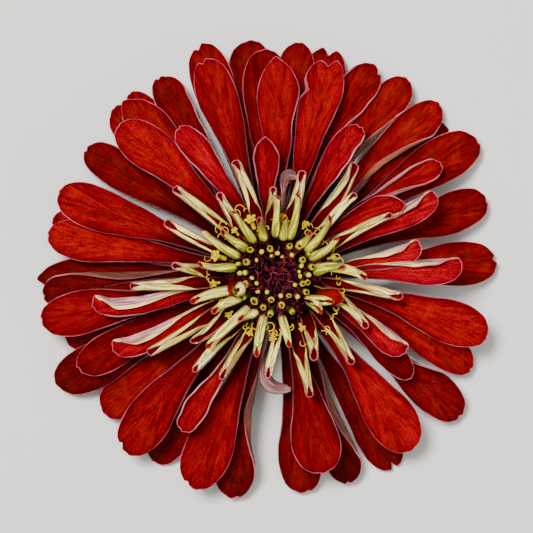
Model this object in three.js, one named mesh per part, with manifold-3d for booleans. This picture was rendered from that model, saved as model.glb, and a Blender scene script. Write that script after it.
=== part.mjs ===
// A zinnia flower head, picked, lying face up. Millimetres, +Z up, the surface it lies on at Z = 0.
// The origin is on that surface, under the middle of the spread of the rays.
// Whorls of ray florets stand on a cone-shaped receptacle, one collar of packed floret bases above
// the other: broad red rays at the back, folded and rolled ones above them, and young quills inside.
// Azimuths are in degrees, anticlockwise from +X as seen from above.

import * as THREE from "three";
import { mergeVertices } from "three/addons/utils/BufferGeometryUtils.js";
import Module from "manifold-3d";

const wasm = await Module();
wasm.setup();

// ---- Driving dimensions ----

const DISC_X = 1.7; // the disc stands a little off the middle of the rays' spread
const DISC_Y = -1.5;
const GOLDEN_ANGLE = 137.508; // degrees from one floret of the disc to the next

const RAY_THICK = 0.6;
const ROOT_DEPTH = 0.8; // how far inside its collar a ray's centreline starts
const COLLAR_BORE = 6.0;
const COLLAR_SIDES = 18;
const LEAST_BEND = 0.55; // a thick blade folds no tighter than this radius
const MOST_ROLL = 148; // degrees a margin rolls in, where both do, so that they stay apart
const CUP = 14; // degrees each half of a blade lifts towards its margin
const CLAW_FOLD = 65; // degrees the margins of a ray's narrow foot stand up
const TILT_RANGE = 8; // degrees between the most clockwise and most anticlockwise lean of a blade

const STALK_RADIUS = 2.6;
const STUB_HEIGHT = 2.6;
const SHOULDER_HEIGHT = 4.4; // where the stub has widened to the receptacle
const CONE_FOOT_RADIUS = 5.4;
const CONE_TOP_RADIUS = 4.6;
const CONE_TOP = 20.6;

// Tip forms.
const ROUND = 0;
const POINTED = 1;
const NOTCHED = 2;
const BLUNT = 3;
const TIP_LENGTH = [0.2, 0.26, 0.2, 0.2]; // share of a ray that its tip takes up, by tip form
const END_SHARE = [0.3, 0.1, 0.6, 0.75]; // share of the width left at the very tip, by tip form
const NOTCH_DEPTH = 1.0;
const NOTCH_FROM = 0.9; // where along a ray its notch begins
const POINT_CURVE = 2.4; // how full a pointed tip is
const SWELL = [0.14, 0.84]; // where along a ray it starts to widen, and where it is widest
const CLAW_ENDS = [0.05, 0.4]; // where along a ray the margins of its foot start to lie down

// The collars of packed floret bases: [bottom, top, radius].
const OUTER_COLLAR = [11.2, 13.0, 10.0];
const MIDDLE_COLLAR = [13.4, 14.6, 9.4];
const FOLDED_COLLAR = [14.9, 16.2, 9.2];
const ROLLED_COLLAR = [16.5, 18.3, 9.0];
const YELLOW_COLLAR = [18.75, 19.25, 9.2];
const QUILL_COLLAR = [19.6, 21.1, 8.6];

// Each whorl of rays: the radius of its collar, the height and the slope in degrees at which its
// rays leave it, the share of the half width that stays flat, where along a ray its folds open, half
// the width of its foot, how much the half width swells a quarter of the way along, how many panels
// its blades have across, and where along them they are cut.
const BACK = {
  collar: OUTER_COLLAR[2], height: 11.8, slope: 2, flat: 0.35, opens: [0.5, 0.85], foot: 1.1,
  belly: 0, across: 2, cuts: [0, 0.4, 0.78, 0.93, 1],
};
const OUTER = { ...BACK, height: 12.4, slope: 9 };
const MIDDLE = {
  ...BACK, collar: MIDDLE_COLLAR[2], height: 13.9, slope: 16, opens: [0.6, 0.95],
};
const FOLDED = {
  ...BACK, collar: FOLDED_COLLAR[2], height: 15.4, slope: 24, opens: [0.95, 1.1],
  across: 4, cuts: [0, 0.33, 0.7, 1],
};
const ROLLED = {
  ...FOLDED, collar: ROLLED_COLLAR[2], height: 16.9, slope: 32, flat: 0.08, opens: [1.1, 1.2],
  cuts: [0, 0.35, 0.7, 1],
};
const QUILL = {
  ...ROLLED, collar: QUILL_COLLAR[2], height: 20.0, slope: 48, foot: 1.3, belly: 1.5,
  cuts: [0, 0.25, 1],
};
const FOLD_PANELS = 4; // panels across a blade with a folded margin or a notch
const FOLDED_FROM = 45; // degrees of fold from which a blade has that many

// Each ray: the azimuth of its tip, how far its root swings from that, its reach from the middle of
// the disc, its width laid flat, the height of its tip, the folds of its clockwise and anticlockwise
// margins in degrees, and the form of its tip.
const BACK_RAYS = [
  [41, 1, 45.6, 7.0, 0.35, 15, 15, ROUND],
  [76.5, 0, 47.0, 8.8, 0.35, 15, 15, NOTCHED],
  [84, 1, 46.8, 7.8, 1.6, 15, 15, ROUND],
  [128.5, 0, 46.6, 6.6, 0.35, 15, 15, ROUND],
  [134, 0, 46.4, 7.6, 1.4, 15, 15, ROUND],
  [165.5, 0, 45.8, 7.0, 0.35, 15, 15, ROUND],
  [196.5, 3, 43.6, 7.0, 0.6, 15, 15, ROUND],
  [237, 0, 44.2, 8.0, 0.35, 15, 15, ROUND],
  [302, 0, 45.2, 8.2, 0.35, 15, 15, NOTCHED],
];
const OUTER_RAYS = [
  [4, 0, 44.2, 8.8, 2.4, 15, 15, NOTCHED],
  [19.8, 2, 44.8, 8.2, 2.8, 15, 15, ROUND],
  [33.8, 5, 48.6, 9.0, 2.6, 15, 15, ROUND],
  [46, 6, 47.4, 7.6, 3.4, 110, 15, ROUND],
  [56, 4, 47.2, 7.8, 2.8, 120, 15, ROUND],
  [64.5, 10, 46.2, 7.8, 3.6, 110, 15, NOTCHED],
  [92, 2, 45.0, 9.0, 5.4, 15, 15, ROUND],
  [96, 5, 47.2, 9.0, 2.2, 15, 15, ROUND],
  [107.8, 1, 48.4, 8.4, 2.4, 15, 15, NOTCHED],
  [120, -1, 45.8, 7.4, 3.0, 100, 15, ROUND],
  [130.5, -1, 46.0, 8.6, 5.6, 15, 15, POINTED],
  [146, -3, 45.2, 7.6, 3.2, 15, 15, ROUND],
  [180.5, -4, 47.3, 6.6, 2.4, 15, 15, POINTED],
  [185, -9, 46.0, 8.2, 4.2, 120, 15, ROUND],
  [197.5, -4, 34, 5.8, 7.0, 15, 15, ROUND],
  [206.1, -1, 48.4, 9.2, 2.6, 15, 15, ROUND],
  [218.5, -2, 43.4, 8.6, 4.0, 15, 15, ROUND],
  [259, -1, 44.8, 8.4, 3.0, 15, 110, NOTCHED],
  [277.5, 1, 43.4, 8.4, 2.6, 15, 15, NOTCHED],
  [289.5, 7, 43.6, 7.8, 3.2, 15, 110, ROUND],
  [323, 4, 46.2, 8.4, 2.8, 15, 80, ROUND],
  [335, 9, 43.2, 7.4, 3.8, 15, 15, BLUNT],
];
const MIDDLE_RAYS = [
  [34, 9, 39.2, 5.4, 13.5, 70, 70, ROUND],
  [76, 0, 44.2, 8.5, 10.5, 15, 15, NOTCHED],
  [89.3, -1, 43.0, 8.5, 12, 70, 15, POINTED],
  [107.8, -2, 44.8, 7.9, 10.5, 15, 15, ROUND],
  [136, -7, 42.6, 8.6, 11, 15, 15, ROUND],
  [159, -2, 45.4, 8.6, 10.5, 15, 15, ROUND],
  [169.8, -3, 45.4, 8.2, 9.2, 15, 15, ROUND],
  [190.7, 1, 46.6, 8.6, 10.5, 15, 15, ROUND],
  [205.6, -7, 42.4, 7.4, 10.5, 15, 15, ROUND],
  [230, -6, 45.2, 9.0, 10, 15, 15, NOTCHED],
  [248.6, 1, 44.4, 9.4, 10.5, 15, 15, NOTCHED],
  [283.7, 2, 39.4, 9.6, 12, 15, 15, ROUND],
  [308, 5, 43.2, 9.6, 11, 15, 15, ROUND],
  [323.5, 9, 33.0, 5.2, 14, 15, 15, ROUND],
  [344.7, 6, 43.2, 8.6, 11, 15, 15, ROUND],
];
const FOLDED_RAYS = [
  [3, 1, 36.2, 6.4, 19, 20, 125, ROUND],
  [12, -7, 28.8, 5.4, 20.5, 20, 130, ROUND],
  [26.5, -1, 35.0, 5.8, 18.5, 20, 130, ROUND],
  [29, 12, 28.6, 5.8, 21.5, 70, 25, POINTED],
  [60.5, 6, 33.4, 5.8, 19, 100, 20, ROUND],
  [94.5, 2, 27.0, 5.4, 20.5, 35, 35, POINTED],
  [123.5, -10, 34.2, 5.8, 18.5, 45, 45, ROUND],
  [188, 5, 35.6, 6.4, 18.5, 160, 30, ROUND],
  [203.8, 1, 34.2, 6.4, 19, 150, 20, ROUND],
  [238.7, 3, 34.6, 6.2, 18.5, 75, 75, BLUNT],
  [329.6, 9, 29.0, 6.0, 20, 20, 150, ROUND],
];
const ROLLED_RAYS = [
  [28, 0, 25.4, 4.8, 22.5, 150, 150, BLUNT],
  [45.5, -4, 22.2, 4.4, 22.5, 150, 150, BLUNT],
  [55, -4, 26.6, 5.2, 22, 120, 150, BLUNT],
  [75.5, 1, 21, 4.6, 23.5, 150, 150, BLUNT],
  [91, 6, 17.2, 4.4, 23.5, 150, 150, BLUNT],
  [109.5, -2, 23.6, 5.2, 22.5, 150, 150, BLUNT],
  [124, 5, 19.4, 4.4, 23.5, 150, 150, BLUNT],
  [139, -4, 25.8, 5.2, 22, 150, 150, BLUNT],
  [153.5, 3, 23.6, 5.0, 22.5, 150, 150, BLUNT],
  [173, 0, 19.8, 4.6, 23.5, 150, 150, BLUNT],
  [183.5, -1, 27.8, 5.4, 21.5, 150, 150, BLUNT],
  [210.8, -2, 28.4, 5.2, 21.5, 150, 150, BLUNT],
  [217.5, -3, 20.4, 4.8, 23.5, 120, 120, POINTED],
  [229.2, 5, 24, 4.8, 22, 150, 150, POINTED],
  [241.8, 7, 22.2, 4.8, 22.5, 150, 150, POINTED],
  [265.8, 11, 19.4, 5.2, 23, 150, 150, POINTED],
  [286.4, 6, 24, 4.9, 22, 150, 150, BLUNT],
  [294.8, 17, 17.6, 4.9, 23.5, 150, 150, BLUNT],
  [311.8, 13, 22.4, 4.9, 22.5, 150, 150, BLUNT],
  [331, 18, 20.2, 4.9, 23, 150, 150, BLUNT],
  [351, 2, 24.8, 5.2, 22, 150, 150, BLUNT],
];
const QUILL_RAYS = [
  [359, 13, 17.4, 4.6, 25.3, 150, 150, BLUNT],
  [8, -2, 13.4, 3.4, 27.4, 150, 150, BLUNT],
  [33, -5, 14.2, 3.8, 26.5, 150, 150, BLUNT],
  [48, -8, 15.8, 3.8, 27.5, 150, 150, BLUNT],
  [52.5, -1, 11.0, 3.3, 25.5, 150, 150, BLUNT],
  [75, -6, 16.6, 3.6, 27.5, 150, 150, BLUNT],
  [81, -3, 11.8, 3.4, 26.5, 150, 150, BLUNT],
  [88, 1, 15.6, 3.5, 27.5, 150, 150, BLUNT],
  [105, 1, 11.8, 3.5, 26.5, 150, 150, BLUNT],
  [122.5, -2, 15.2, 3.6, 27.0, 150, 150, BLUNT],
  [139, -3, 13.6, 3.6, 26.5, 150, 150, BLUNT],
  [146.8, 4, 16.8, 3.6, 27.0, 150, 150, BLUNT],
  [170, -3, 15, 3.5, 26.5, 150, 150, BLUNT],
  [193, 0, 10.4, 3.8, 24.5, 150, 150, BLUNT],
  [196.8, 1, 16.8, 3.8, 26.0, 150, 150, BLUNT],
  [210, 2, 13.8, 3.6, 26.5, 150, 150, BLUNT],
  [226, 3, 18.8, 3.8, 25.5, 150, 150, BLUNT],
  [229, 12, 10.8, 3.6, 25.5, 150, 150, BLUNT],
  [257, -1, 15.6, 3.8, 26.5, 150, 150, BLUNT],
  [281.8, -1, 13.6, 3.7, 26.5, 150, 150, BLUNT],
  [321.5, 5, 11.2, 4.0, 25.2, 130, 130, POINTED],
  [337, -13, 12.2, 3.8, 26.0, 130, 130, POINTED],
  [341, -2, 13.8, 4.6, 24.2, 60, 60, POINTED],
];

// Two rays whose blades have curled right over sideways, by points [azimuth, distance, height].
const CURLED_WIDTHS = [4.0, 5.0];
const CURLED_FOLD = 110;
const CURLED_FLAT = 0.1;
const CURLED_FOOT = 0.3; // share of the half width at its foot
const CURLED_SWELL = [0.05, 0.8]; // how soon it widens, and how much of half a wave its width follows
const CURLED_CUTS = [0, 0.2, 0.4, 0.55, 0.7, 0.85, 1];
const CURLED_PATHS = [
  [[82, 8.4, 15.4], [82, 13.5, 18.0], [84.4, 17.4, 19.4], [82.5, 19.6, 20.4], [77.5, 19.4, 20.4]],
  [[270, 8.4, 15.4], [264.5, 14.5, 18.4], [261.5, 18, 18.8], [267, 21.6, 18.6], [278, 21.8, 18.0]],
];

// Yellow florets between the rays: [azimuth, distance, height, radius] of each star.
const FLORETS = [
  [19, 11.8, 21.6, 0.9],
  [60, 11.8, 21.6, 0.9],
  [83, 11.8, 21.6, 0.9],
  [113, 12.0, 21.8, 1.2],
  [131, 11.8, 21.6, 0.9],
  [160, 12.0, 21.8, 1.2],
  [186, 11.8, 21.6, 0.9],
  [219, 11.6, 21.7, 0.9],
  [246, 11.8, 21.6, 0.9],
  [268, 11.8, 21.6, 1.0],
  [298, 11.1, 21.9, 0.9],
  [343, 11.8, 21.6, 0.9],
];
const FLORET_ROOT_HEIGHT = 19.0;
const FLORET_TUBE_RADIUS = 0.45;
const STAR_THICK = 0.6;
const STAR_LOBES = 5;
const STAR_NECK = 0.45; // share of a star's radius between its lobes

// The disc: a ring of young buds round a dome of dark chaff.
const DISC_FLOOR = 21.45;
const BUD_RING_BORE = 4.6;
const BUD_RING_RADIUS = 6.8;
const BUD_RING_TOP = [22.2, 21.8]; // height at its bore and at its rim
const BUDS = 27;
const BUD_FIRST = 34; // place in the disc's spiral of the innermost bud
const SPIRAL_SPACING = 0.84; // distance out is this times the square root of the place
const BUD_RADIUS = [0.55, 0.9]; // innermost and outermost
const BUD_HEIGHT = [1.1, 1.9];
const BUD_SIDES = 5;
const BUD_PROFILE = [[0, -0.2], [1, 0.5], [0.6, 1], [0, 0.85]]; // shares of its radius and height
const DOME_RADIUS = 4.3;
const DOME_HEIGHT = 2.0;
const DOME_SIDES = 16;
const DOME_FALL = 0.5; // share of the dome's height by which it is lower at its rim
const CHAFF = 24;
const CHAFF_RADIUS = 0.42;
const CHAFF_LENGTH = 1.5;
const CHAFF_LIFT = 0.3; // share of a scale's length by which its middle stands over the dome
const CHAFF_FIRST = 0.4; // place in the disc's spiral of the innermost scale

// The green cup: rows of bracts, each [count, foot height, tip height, tip stand-off].
const CUP_PROFILE = [[5.9, 3.5], [7.6, 4.9], [8.8, 7.6], [9.1, 10.7]];
const CUP_GAP = 0.1; // how far inside the collars' bore the cup's own bore stays
const CUP_FLOOR = 1.2; // how thick the cup is at its foot
const BRACT_ROWS = [[8, 4.1, 7.2, 0.5], [8, 5.8, 9.1, 0.6], [9, 7.4, 10.7, 0.6]];
const BRACT_WIDTH = 5.2;
const BRACT_CUTS = [[0, 0.8], [0.6, 0.95], [1, 0.3]]; // place along it, share of its width there
const BRACT_INSET = 0.3; // how far its foot sinks into the cup's wall
const BRACT_BEND = 16; // degrees each half of a bract bends round the cup
const BRACT_THICK = 0.8;

// ---- Helpers ----

const radians = THREE.MathUtils.degToRad;

function smoothStep(value, from, to) {
  const t = THREE.MathUtils.clamp((value - from) / (to - from), 0, 1);
  return t * t * (3 - 2 * t);
}

// A value from 0 to 1 that differs from one place in a row to the next.
function spread(place) {
  return (place * 0.618034) % 1;
}

function polar(azimuth, distance, height) {
  const turn = radians(azimuth);
  return new THREE.Vector3(distance * Math.cos(turn), distance * Math.sin(turn), height);
}

function toSolid(geometry) {
  const bare = geometry.index ? geometry.toNonIndexed() : geometry.clone();
  bare.deleteAttribute("normal");
  bare.deleteAttribute("uv");
  const merged = mergeVertices(bare, 1e-4);
  return new wasm.Manifold(new wasm.Mesh({
    numProp: 3,
    vertProperties: new Float32Array(merged.attributes.position.array),
    triVerts: new Uint32Array(merged.index.array),
  }));
}

function toGeometry(solid) {
  const mesh = solid.getMesh();
  const geometry = new THREE.BufferGeometry();
  geometry.setAttribute("position", new THREE.BufferAttribute(mesh.vertProperties, 3));
  geometry.setIndex(new THREE.BufferAttribute(mesh.triVerts, 1));
  return geometry;
}

function joined(solids) {
  return solids.reduce((whole, solid) => whole.add(solid));
}

// A turned solid about +Z from [radius, height] points.
function turned(points, sides) {
  const profile = points.map(([radius, height]) => new THREE.Vector2(radius, height));
  const lathe = new THREE.LatheGeometry(profile, sides);
  lathe.rotateX(Math.PI / 2);
  return toSolid(lathe);
}

function ring(bore, radius, bottom, top, sides) {
  const corners = [[bore, bottom], [radius, bottom], [radius, top], [bore, top], [bore, bottom]];
  return turned(corners, sides);
}

// ---- Blades ----

const SECTION_STEPS = 12;

// How far a blade's half has turned up at share v of its width.
function turnAt(v, cup, fold, flat) {
  return cup * v + fold * Math.max(0, (v - flat) / (1 - flat));
}

// One half of a blade's cross-section, rolled up from the midrib: its point and turn at share v of
// the half width.
function rolledPoint(half, v, cup, fold, flat) {
  const step = v / SECTION_STEPS;
  let x = 0;
  let y = 0;
  for (let i = 0; i < SECTION_STEPS; i++) {
    const turn = turnAt((i + 0.5) * step, cup, fold, flat);
    x += Math.cos(turn) * half * step;
    y += Math.sin(turn) * half * step;
  }
  return { x, y, turn: turnAt(v, cup, fold, flat) };
}

// Points across a blade at a station, on its underside and on its upper side.
function pointsAcross(station, across, thick) {
  const under = [];
  const upper = [];
  for (let j = 0; j <= across; j++) {
    const u = -1 + (2 * j) / across;
    const sign = Math.sign(u) || 1;
    const fold = station.folds[u < 0 ? 0 : 1];
    const point = rolledPoint(station.half, Math.abs(u), station.cup, fold, station.flat);
    const middle = station.at.clone()
      .addScaledVector(station.side, sign * point.x)
      .addScaledVector(station.up, point.y)
      .addScaledVector(station.along, -station.setback(u));
    const normal = new THREE.Vector3()
      .addScaledVector(station.side, -sign * Math.sin(point.turn))
      .addScaledVector(station.up, Math.cos(point.turn));
    under.push(middle.clone().addScaledVector(normal, -thick / 2));
    upper.push(middle.clone().addScaledVector(normal, thick / 2));
  }
  return { under, upper };
}

// Faces of a closed slab whose underside and upper side are each rows of points.
function slabFaces(rows, across) {
  const faces = [];
  const quad = (a, b, c, d) => faces.push(a, b, c, a, c, d);
  const wide = across + 1;
  const top = rows * wide;
  const end = top - wide;
  for (let from = 0; from < end; from += wide) {
    const to = from + wide;
    for (let j = 0; j < across; j++) {
      const a = from + j;
      const b = to + j;
      faces.push(a, b + 1, b, a, a + 1, b + 1);
      faces.push(top + a, top + b, top + b + 1, top + a, top + b + 1, top + a + 1);
    }
    quad(from, to, top + to, top + from);
    quad(from + across, top + from + across, top + to + across, to + across);
  }
  for (let j = 0; j < across; j++) {
    quad(j, top + j, top + j + 1, j + 1);
    quad(end + j, end + j + 1, top + end + j + 1, top + end + j);
  }
  return faces;
}

// A closed blade over stations, each with its place, its own axes and its cross-section:
// { at, along, side, up, half, folds: [clockwise, anticlockwise], flat, cup, setback(u) }.
function bladeSolid(stations, across, thick) {
  const rows = stations.map((station) => pointsAcross(station, across, thick));
  const places = [...rows.flatMap((row) => row.under), ...rows.flatMap((row) => row.upper)];
  const geometry = new THREE.BufferGeometry().setFromPoints(places);
  geometry.setIndex(slabFaces(stations.length, across));
  const solid = toSolid(geometry);
  if (solid.volume() <= 0) throw new Error("a blade is inside out");
  return solid;
}

// The axes of a blade at a place on its path: along it, to its anticlockwise side, and up.
function axesOn(path, s, tilt) {
  const step = 0.01;
  const along = path(Math.min(s + step, 1)).sub(path(Math.max(s - step, 0))).normalize();
  const level = new THREE.Vector3(-along.y, along.x, 0).normalize();
  const side = level.applyAxisAngle(along, tilt);
  const up = new THREE.Vector3().crossVectors(along, side);
  return { at: path(s), along, side, up };
}

function halfWidth(s, width, tip, whorl) {
  const body = THREE.MathUtils.lerp(whorl.foot, width / 2, smoothStep(s, ...SWELL));
  const belly = whorl.belly * Math.sin(Math.PI * Math.sqrt(s));
  const into = Math.max(0, 1 + (s - 1) / TIP_LENGTH[tip]);
  const round = Math.sqrt(Math.max(0, 1 - (1 - END_SHARE[tip] ** 2) * into ** 2));
  const point = 1 - (1 - END_SHARE[tip]) * into ** POINT_CURVE;
  return (body + belly) * (tip === POINTED ? point : round);
}

// The folds of a blade's two margins at share s of its length.
function foldsAt(s, half, whorl, folds) {
  const claw = CLAW_FOLD * (1 - smoothStep(s, ...CLAW_ENDS));
  const held = 1 - smoothStep(s, ...whorl.opens);
  const tightest = (half * (1 - whorl.flat)) / LEAST_BEND;
  const most = Math.min(radians(MOST_ROLL), tightest);
  return folds.map((fold) => Math.min(radians(Math.max(fold * held, claw)), most));
}

function raySolid(numbers, place, whorl) {
  const [azimuth, swing, reach, width, tipHeight, foldCw, foldCcw, tip] = numbers;
  const root = whorl.collar - ROOT_DEPTH;
  const run = reach - root;
  const rise = Math.tan(radians(whorl.slope)) * run;
  const path = (s) => {
    const height = whorl.height + rise * s + (tipHeight - whorl.height - rise) * s * s;
    return polar(azimuth + swing * (1 - s), root + run * s, height);
  };
  const tilt = radians((spread(place + 1) - 0.5) * TILT_RANGE);
  const notch = tip === NOTCHED ? NOTCH_DEPTH : 0;
  const stations = whorl.cuts.map((s) => {
    const half = halfWidth(s, width, tip, whorl);
    const folds = foldsAt(s, half, whorl, [foldCw, foldCcw]);
    const setback = (u) => notch * Math.cos(Math.PI * u) ** 2 * smoothStep(s, NOTCH_FROM, 1);
    return { ...axesOn(path, s, tilt), half, folds, flat: whorl.flat, cup: radians(CUP), setback };
  });
  const fine = notch > 0 || Math.max(foldCw, foldCcw) > FOLDED_FROM;
  return bladeSolid(stations, fine ? FOLD_PANELS : whorl.across, RAY_THICK);
}

function rays(list, whorl) {
  return list.map((numbers, place) => raySolid(numbers, place, whorl));
}

function curledRay(points, place) {
  const curve = new THREE.CatmullRomCurve3(points.map((p) => polar(...p)));
  const stations = CURLED_CUTS.map((s) => {
    const [soon, share] = CURLED_SWELL;
    const swell = Math.sin(Math.PI * share * Math.min(1, s + soon));
    const half = (CURLED_WIDTHS[place] / 2) * THREE.MathUtils.lerp(CURLED_FOOT, 1, swell);
    const fold = Math.min(radians(CURLED_FOLD), (half * (1 - CURLED_FLAT)) / LEAST_BEND);
    const section = { half, folds: [fold, fold], flat: CURLED_FLAT, cup: 0, setback: () => 0 };
    return { ...axesOn((at) => curve.getPoint(at), s, 0), ...section };
  });
  return bladeSolid(stations, FOLD_PANELS, RAY_THICK);
}

// ---- The pieces ----

function stalk() {
  return turned([
    [0, 0],
    [STALK_RADIUS, 0],
    [STALK_RADIUS, STUB_HEIGHT],
    [CONE_FOOT_RADIUS, SHOULDER_HEIGHT],
    [CONE_FOOT_RADIUS, CONE_TOP / 2],
    [CONE_TOP_RADIUS, CONE_TOP],
    [0, CONE_TOP],
  ], COLLAR_SIDES);
}

function cupRadius(height) {
  const after = CUP_PROFILE.findIndex(([, at]) => at >= height);
  if (after <= 0) return CUP_PROFILE[after < 0 ? CUP_PROFILE.length - 1 : 0][0];
  const [r0, z0] = CUP_PROFILE[after - 1];
  const [r1, z1] = CUP_PROFILE[after];
  return r0 + ((r1 - r0) * (height - z0)) / (z1 - z0);
}

function bract(azimuth, foot, tip, standOff) {
  const path = (s) => {
    const height = foot + (tip - foot) * s;
    return polar(azimuth, cupRadius(height) - BRACT_INSET + standOff * s * s, height);
  };
  const stations = BRACT_CUTS.map(([s, share]) => {
    const along = path(Math.min(s + 0.05, 1)).sub(path(Math.max(s - 0.05, 0))).normalize();
    const side = polar(azimuth + 90, -1, 0);
    const up = new THREE.Vector3().crossVectors(along, side);
    const half = (BRACT_WIDTH / 2) * share;
    const curve = { folds: [0, 0], flat: 0, cup: -radians(BRACT_BEND), setback: () => 0 };
    return { at: path(s), along, side, up, half, ...curve };
  });
  return bladeSolid(stations, 2, BRACT_THICK);
}

function bractCup() {
  const [, cupFoot] = CUP_PROFILE[0];
  const [, cupTop] = CUP_PROFILE[CUP_PROFILE.length - 1];
  const bore = COLLAR_BORE - CUP_GAP;
  const wall = [[bore, cupTop], [bore, cupFoot + CUP_FLOOR], ...CUP_PROFILE, [bore, cupTop]];
  const pieces = [turned(wall, COLLAR_SIDES)];
  BRACT_ROWS.forEach(([count, foot, tip, standOff], row) => {
    for (let i = 0; i < count; i++) {
      const azimuth = (360 * (i + 0.5 * row + 0.2 * spread(i + 1))) / count;
      pieces.push(bract(azimuth, foot, tip, standOff));
    }
  });
  return joined(pieces);
}

function collar([bottom, top, radius]) {
  return ring(COLLAR_BORE, radius, bottom, top, COLLAR_SIDES);
}

// One floret: a four-sided tube from its foot to its head, and a star across its mouth.
function floret(foot, head, radius) {
  const axis = head.clone().sub(foot);
  const upright = new THREE.Vector3(0, 0, 1);
  const facing = new THREE.Quaternion().setFromUnitVectors(upright, axis.clone().normalize());
  const tube = new THREE.CylinderGeometry(FLORET_TUBE_RADIUS, FLORET_TUBE_RADIUS, axis.length(), 4);
  tube.rotateX(Math.PI / 2);
  tube.applyQuaternion(facing);
  tube.translate(...foot.clone().lerp(head, 0.5).toArray());
  const outline = new THREE.Shape();
  for (let i = 0; i < 2 * STAR_LOBES; i++) {
    const turn = (Math.PI * i) / STAR_LOBES;
    const out = i % 2 ? radius * STAR_NECK : radius;
    outline[i ? "lineTo" : "moveTo"](out * Math.cos(turn), out * Math.sin(turn));
  }
  const star = new THREE.ExtrudeGeometry(outline, { depth: STAR_THICK, bevelEnabled: false });
  star.translate(0, 0, -STAR_THICK / 2);
  star.applyQuaternion(facing);
  star.translate(...head.toArray());
  return toSolid(tube).add(toSolid(star));
}

function yellowFlorets() {
  const root = YELLOW_COLLAR[2] - ROOT_DEPTH / 2;
  const florets = FLORETS.map(([azimuth, distance, height, radius]) => {
    const foot = polar(azimuth, root, FLORET_ROOT_HEIGHT);
    return floret(foot, polar(azimuth, distance, height), radius);
  });
  return joined([collar(YELLOW_COLLAR), ...florets]);
}

// The disc's florets lie on a spiral, each a golden angle on from the one before.
function discPlace(place) {
  return { azimuth: place * GOLDEN_ANGLE, distance: SPIRAL_SPACING * Math.sqrt(place) };
}

function budRing() {
  const [boreTop, rimTop] = BUD_RING_TOP;
  const pieces = [turned([
    [BUD_RING_BORE, DISC_FLOOR],
    [BUD_RING_RADIUS, DISC_FLOOR],
    [BUD_RING_RADIUS, rimTop],
    [BUD_RING_BORE, boreTop],
    [BUD_RING_BORE, DISC_FLOOR],
  ], COLLAR_SIDES)];
  const furthest = BUD_RING_RADIUS - BUD_RADIUS[1];
  for (let i = 0; i < BUDS; i++) {
    const { azimuth, distance } = discPlace(BUD_FIRST + i);
    const share = i / (BUDS - 1);
    const radius = THREE.MathUtils.lerp(...BUD_RADIUS, share);
    const height = THREE.MathUtils.lerp(...BUD_HEIGHT, share);
    const foot = THREE.MathUtils.lerp(boreTop, rimTop, share);
    const reach = THREE.MathUtils.clamp(distance, BUD_RING_BORE + radius, furthest);
    const profile = BUD_PROFILE.map(([across, up]) => [radius * across, height * up]);
    pieces.push(turned(profile, BUD_SIDES).translate(polar(azimuth, reach, foot).toArray()));
  }
  return joined(pieces);
}

function domeHeight(distance) {
  return DISC_FLOOR + DOME_HEIGHT * (1 - DOME_FALL * (distance / DOME_RADIUS) ** 2);
}

function chaffDome() {
  const pieces = [turned([
    [0, DISC_FLOOR],
    [DOME_RADIUS, DISC_FLOOR],
    [DOME_RADIUS, domeHeight(DOME_RADIUS)],
    [DOME_RADIUS / 2, domeHeight(DOME_RADIUS / 2)],
    [0, domeHeight(0)],
  ], DOME_SIDES)];
  for (let i = 0; i < CHAFF; i++) {
    const { azimuth, distance } = discPlace(CHAFF_FIRST + i);
    const reach = Math.min(distance, DOME_RADIUS - CHAFF_RADIUS);
    const scale = new THREE.ConeGeometry(CHAFF_RADIUS, CHAFF_LENGTH, 3);
    scale.rotateX(Math.PI / 2);
    scale.rotateZ(radians(azimuth));
    const middle = domeHeight(reach) + CHAFF_LENGTH * CHAFF_LIFT;
    scale.translate(...polar(azimuth, reach, middle).toArray());
    pieces.push(toSolid(scale));
  }
  return joined(pieces);
}

// ---- The flower ----

function node(name, solid, colour, roughness) {
  const material = new THREE.MeshStandardMaterial({ color: colour, roughness, metalness: 0 });
  const mesh = new THREE.Mesh(toGeometry(solid), material);
  mesh.name = name;
  return mesh;
}

const flower = new THREE.Group();
const head = new THREE.Group();
head.position.set(DISC_X, DISC_Y, 0);
flower.add(head);

head.add(
  node("stalk", stalk(), 0x7f9a4a, 0.6),
  node("bract_cup", bractCup(), 0x66803a, 0.7),
  node("outer_rays", joined([
    collar(OUTER_COLLAR),
    ...rays(BACK_RAYS, BACK),
    ...rays(OUTER_RAYS, OUTER),
  ]), 0xa01808, 0.6),
  node("middle_rays", joined([
    collar(MIDDLE_COLLAR),
    ...rays(MIDDLE_RAYS, MIDDLE),
  ]), 0xc81c08, 0.6),
  node("folded_rays", joined([
    collar(FOLDED_COLLAR),
    ...rays(FOLDED_RAYS, FOLDED),
    ...CURLED_PATHS.map(curledRay),
  ]), 0xb81c28, 0.6),
  node("rolled_rays", joined([
    collar(ROLLED_COLLAR),
    ...rays(ROLLED_RAYS, ROLLED),
  ]), 0xe8d8a0, 0.6),
  node("yellow_florets", yellowFlorets(), 0xe8c820, 0.6),
  node("quill_rays", joined([
    collar(QUILL_COLLAR),
    ...rays(QUILL_RAYS, QUILL),
  ]), 0xd8d470, 0.6),
  node("bud_ring", budRing(), 0xc8c860, 0.6),
  node("chaff_dome", chaffDome(), 0x48101a, 0.7),
);

export default flower;
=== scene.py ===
# A zinnia flower head, picked, lying face up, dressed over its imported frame.
# Tables are in millimetres and degrees, as on the frame; meshes are in metres.

import math

import bpy
import numpy as np
from bpy.props import FloatProperty, FloatVectorProperty, IntProperty, PointerProperty
from mathutils import Matrix, Quaternion, Vector

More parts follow.
